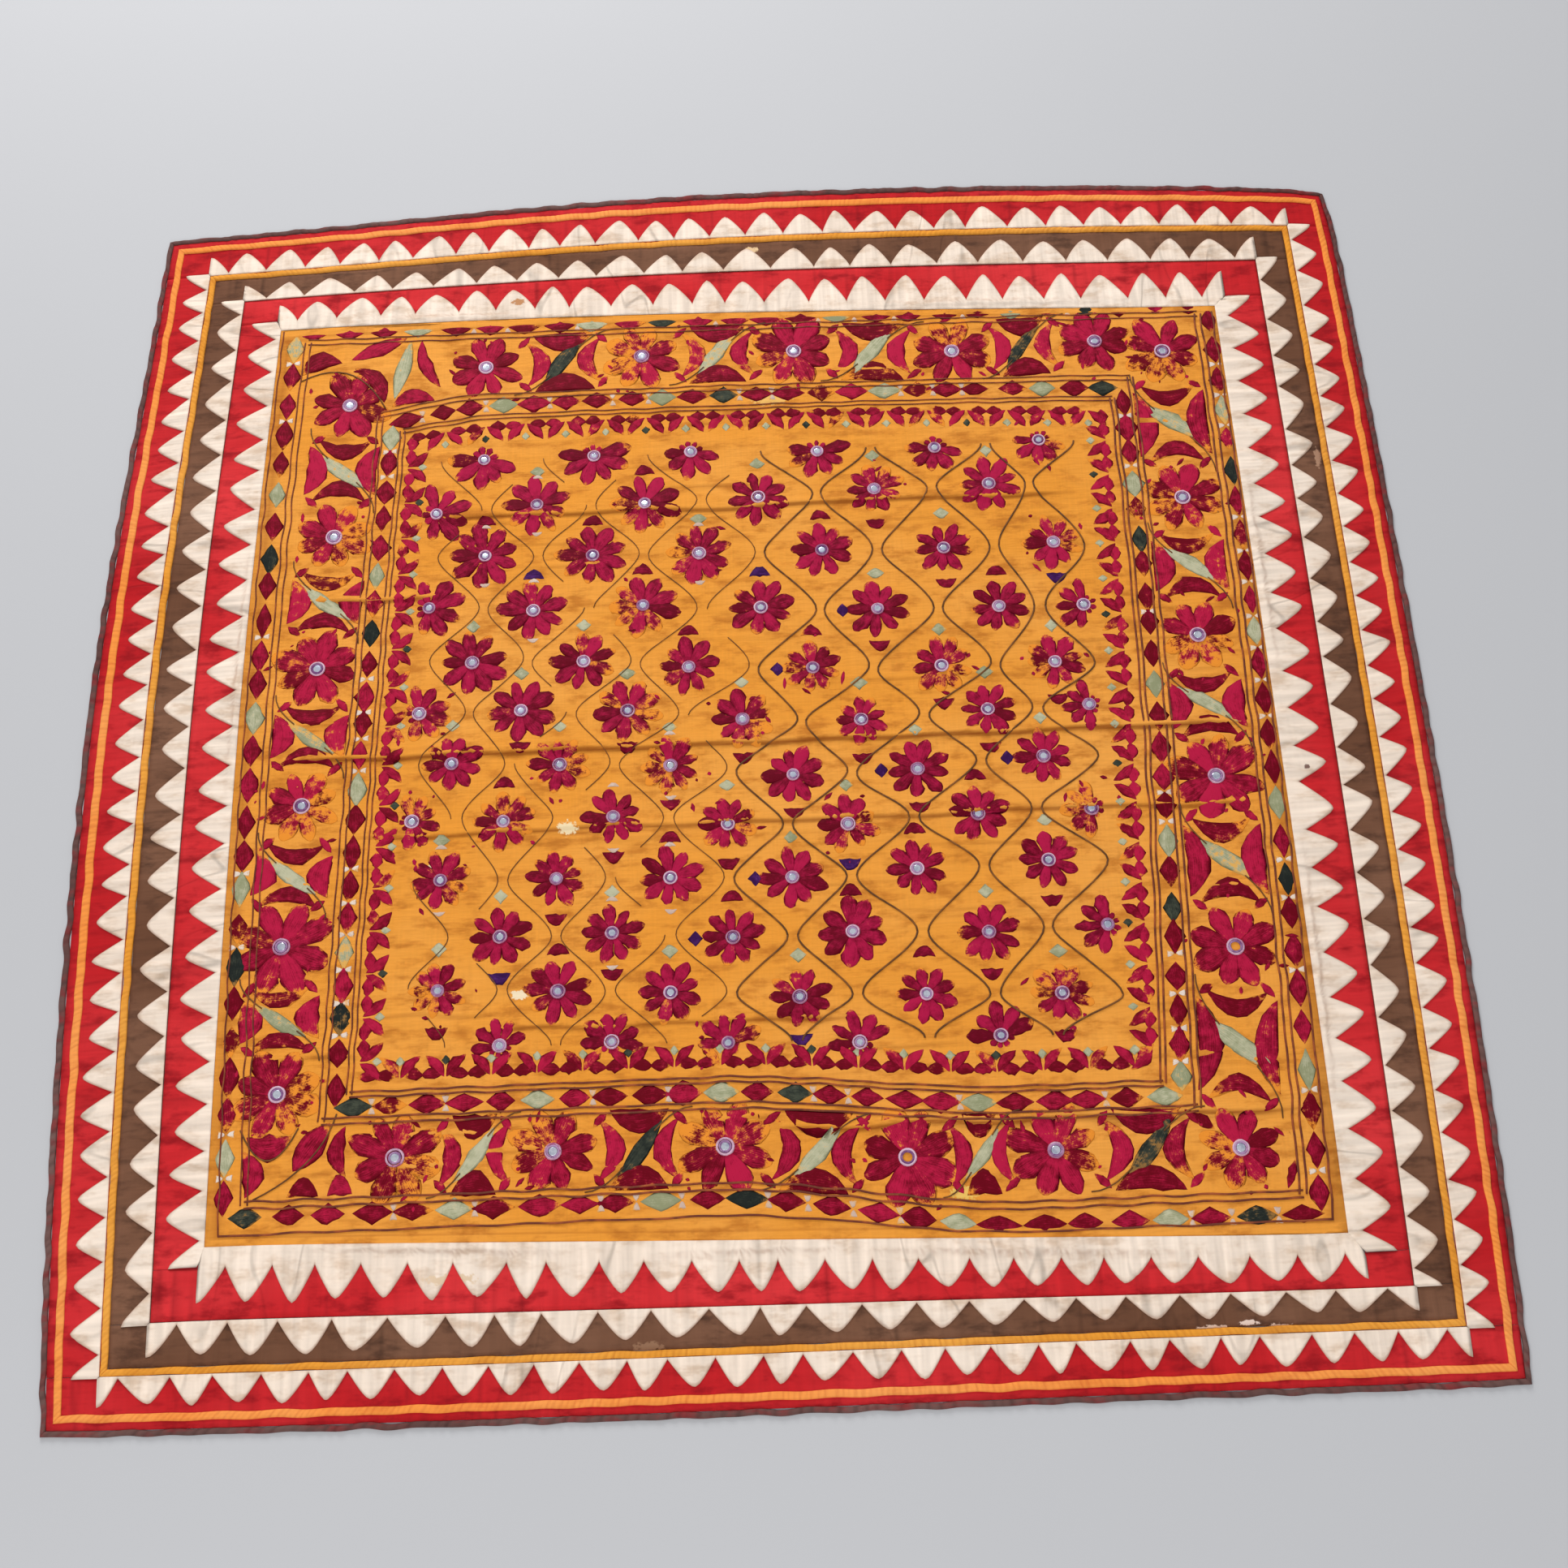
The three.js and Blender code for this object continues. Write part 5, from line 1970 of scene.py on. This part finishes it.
@dataclass
class Mirrors(Seeded):
    """Round mirrors, each held by a dark bead of buttonhole stitching inside a thin pale ring."""

    rings: tuple[Ring, ...] = (
        Ring("mirror_rings", LAVENDER, 7.2, 1.1, 1.1), Ring("mirror_beads", VIOLET, 5.1, 1.2, 1.3),
    )
    glass: float = 4.2
    glass_reach: Row = (0.5, 0.85, 1.0, 1.0)
    glass_rise: Row = (1.15, 1.1, 1.0, 0.1)
    sides: int = 12
    tilt: float = 0.035
    large: int = 22
    large_size: float = 1.02
    small_size: float = 0.87
    missing: Pairs = ((443.0, -244.0), (119.0, -435.0))
    beside: float = 20.0
    seed: int = 83

    def sizes(self, many: int) -> Array:
        """Size of each mirror: those of the main border, which come first, are larger."""
        return np.where(np.arange(many) < self.large, self.large_size, self.small_size)[:, None, None]

    def bind(self, ring: Ring, places: Array) -> Piece:
        """Beads round the mirrors: a round section carried round a circle, its thickness beating by stitches.

        Args:
            ring: the bead's sizes and floss.
            places: the mirrors' plan places.

        Returns:
            One piece of all the beads.
        """
        one = (len(places), 1, 1)
        x, y = places.T[..., None, None]
        turn, angle = full_turn(ring.stitches)[:, None], full_turn(ring.around)
        beat = 1.0 + ring.uneven * self.draw.normal(0.0, 1.0, (len(places), ring.stitches, 1))
        reach = self.draw.normal(1.0, 0.05, one) * ring.reach + ring.thick * beat * np.cos(angle)
        reach = reach * self.sizes(len(places))
        z = RELIEF.height(x, y) + ring.rise * beat * np.sin(angle) + ring.lift
        uv = join(0.3 + 0.4 * angle / TAU, 0.6 * (turn / TAU))
        bead = Loft(ring.name)
        tone = self.draw.uniform(0.0, 0.8, one) + self.draw.uniform(0.0, 0.3, z.shape)
        worn = 0.6 * self.draw.beta(0.8, 1.6, one) * np.ones_like(z)
        points = PANEL.place(x + reach * np.cos(turn), y + reach * np.sin(turn), z)
        bead.add(points, None, np.broadcast_to(uv, (*z.shape, 2)), {"tone": tone, "wear": worn})
        return bead.piece(ring.finish, "floss_silk")

    def glasses(self, places: Array, nodes: list[str]) -> Piece:
        """Discs of glass: rings of falling height from a raised middle to the rim, closed underneath."""
        apart = np.hypot(*(places[:, None] - np.array(self.missing)[None]).transpose(2, 0, 1)).min(1)
        there = apart > self.beside
        size, places = self.sizes(len(places))[there], places[there]
        x, y = places.T[..., None, None]
        rise = np.array(self.glass_rise)
        reach = (np.array(self.glass_reach) * self.glass)[:, None]
        turn = full_turn(self.sides)
        tilt = self.draw.normal(0.0, self.tilt, (len(places), 2)).T[..., None, None]
        out_x, out_y = reach * np.cos(turn) * size, reach * np.sin(turn) * size
        base = RELIEF.height(x, y)
        rings = PANEL.place(x + out_x, y + out_y, base + rise[:, None] + (tilt[0] * out_x + tilt[1] * out_y))
        poles = PANEL.place(x[:, 0], y[:, 0], base[:, 0] + rise[[0, -1]])
        uv = join(out_x, out_y) / self.glass
        disc = Loft("mirror_glasses")
        disc.add(rings, poles, uv)
        return disc.piece(GLASS, "mirror_glass", *nodes)


class Embroidery:
    """All the sewing on the centre panel."""

    def build(self) -> list[Piece]:
        """Stitch the main border, the field and the guards, and sew on the mirrors.

        Returns:
            The pieces that lie on the centre cloth.
        """
        stitcher, mirrors = Stitcher(), Mirrors()
        trellis, lines = Cords("trellis_thread", BROWN_THREAD), Cords("frame_lines", RUSSET_THREAD)
        border = MainBorder(stitcher, trellis)
        hearts = np.concatenate((border.stitch(), Field(stitcher, trellis).stitch()))
        Guards(stitcher, lines).stitch()
        made = stitcher.pieces() + [trellis.piece(), lines.piece()]
        made += [mirrors.bind(ring, hearts) for ring in mirrors.rings]
        nodes = [node for side in Side for node in border.nodes(side)]
        return made + [mirrors.glasses(hearts, nodes)]


# The studio

@dataclass(frozen=True)
class FloorFinish(Finish):
    """Plain pale floor paper."""

    colour: Shade
    lighter: float = 1.03
    rough: float = 0.9

    def dress(self, tree: Tree, shader: Node) -> None:
        """Pale colour with a faint cloud in it."""
        cloud = tree.noise(tree.place(), (2.0, 2.0, 2.0), 2.0)
        pale = (min(1.0, part * self.lighter) for part in linear(*self.colour))
        colour = tree.mix(cloud, self.colour, (*pale, 1.0))
        tree.fill(shader, {"Base Color": colour, "Roughness": self.rough})


@dataclass
class Studio:
    """Pale floor, soft light from the far side and the camera at the photo's place."""

    floor_half: float = 6.0
    floor_drop: float = 0.0004
    camera_plan: Triple = (0.034, -0.930, 1.927)
    camera_turn: Triple = (24.43, 1.37, -2.04)
    lens: float = 49.0
    sensor: float = 36.0
    nearest: float = 0.01

    def floor(self) -> None:
        """A flat square of floor under the panel, not part of the object."""
        reach, low = self.floor_half, -self.floor_drop
        mesh = bpy.data.meshes.new("floor")
        corners = [(-reach, -reach, low), (reach, -reach, low), (reach, reach, low), (-reach, reach, low)]
        mesh.from_pydata(corners, [], [(0, 1, 2, 3)])
        mesh.materials.append(FloorFinish("floor_paper", (194, 194, 196)).material())
        stand("floor", mesh)

    def light(self) -> None:
        """An even pale sky and two large soft lamps."""
        world = bpy.data.worlds.new("studio")
        bpy.context.scene.world = world
        world.use_nodes = True
        sky = world.node_tree.nodes["Background"]
        sky.inputs["Color"].default_value = (0.95, 0.97, 1.0, 1.0)
        sky.inputs["Strength"].default_value = 0.5
        for name, place, aim, size, power in (
            ("key", (-0.7, 3.0, 1.7), (0.0, 0.1, 0.0), 1.4, 82.0),
            ("fill", (-0.4, -2.1, 2.0), (0.0, -0.3, 0.0), 2.4, 34.0),
        ):
            lamp = bpy.data.lights.new(name, "AREA")
            lamp.shape, lamp.size, lamp.energy = "SQUARE", size, power
            made = stand(name, lamp)
            made.location = place
            course = np.array(aim) - np.array(place)
            flat = math.hypot(course[0], course[1])
            made.rotation_euler = (math.atan2(flat, -course[2]), 0.0, math.atan2(-course[0], course[1]))

    def camera(self) -> None:
        """Camera with the photo's lens, place and turn."""
        data = bpy.data.cameras.new("camera")
        data.lens, data.sensor_width, data.clip_start = self.lens, self.sensor, self.nearest
        made = stand("camera", data)
        aside = PANEL.offset()
        x, y, z = self.camera_plan
        made.location = (x + aside[0], y + aside[1], z)
        made.rotation_euler = tuple(math.radians(turn) for turn in self.camera_turn)
        bpy.context.scene.camera = made
        bpy.context.scene.view_settings.view_transform = "Standard"

    def build(self) -> None:
        """Make the floor, the light and the camera."""
        self.floor()
        self.light()
        self.camera()


def main() -> None:
    """Build the studio, the cloths and the embroidery in order."""
    logging.basicConfig(level=logging.INFO, format="%(message)s")
    for make in (make_weave, make_dye_and_shade, make_floss, make_spot):
        make()
    Studio().build()
    centre = CentrePanel()
    cloth = centre.build()
    Border().build()
    sewn = Embroidery().build()
    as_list(sewn)


if __name__ == "__main__":
    main()
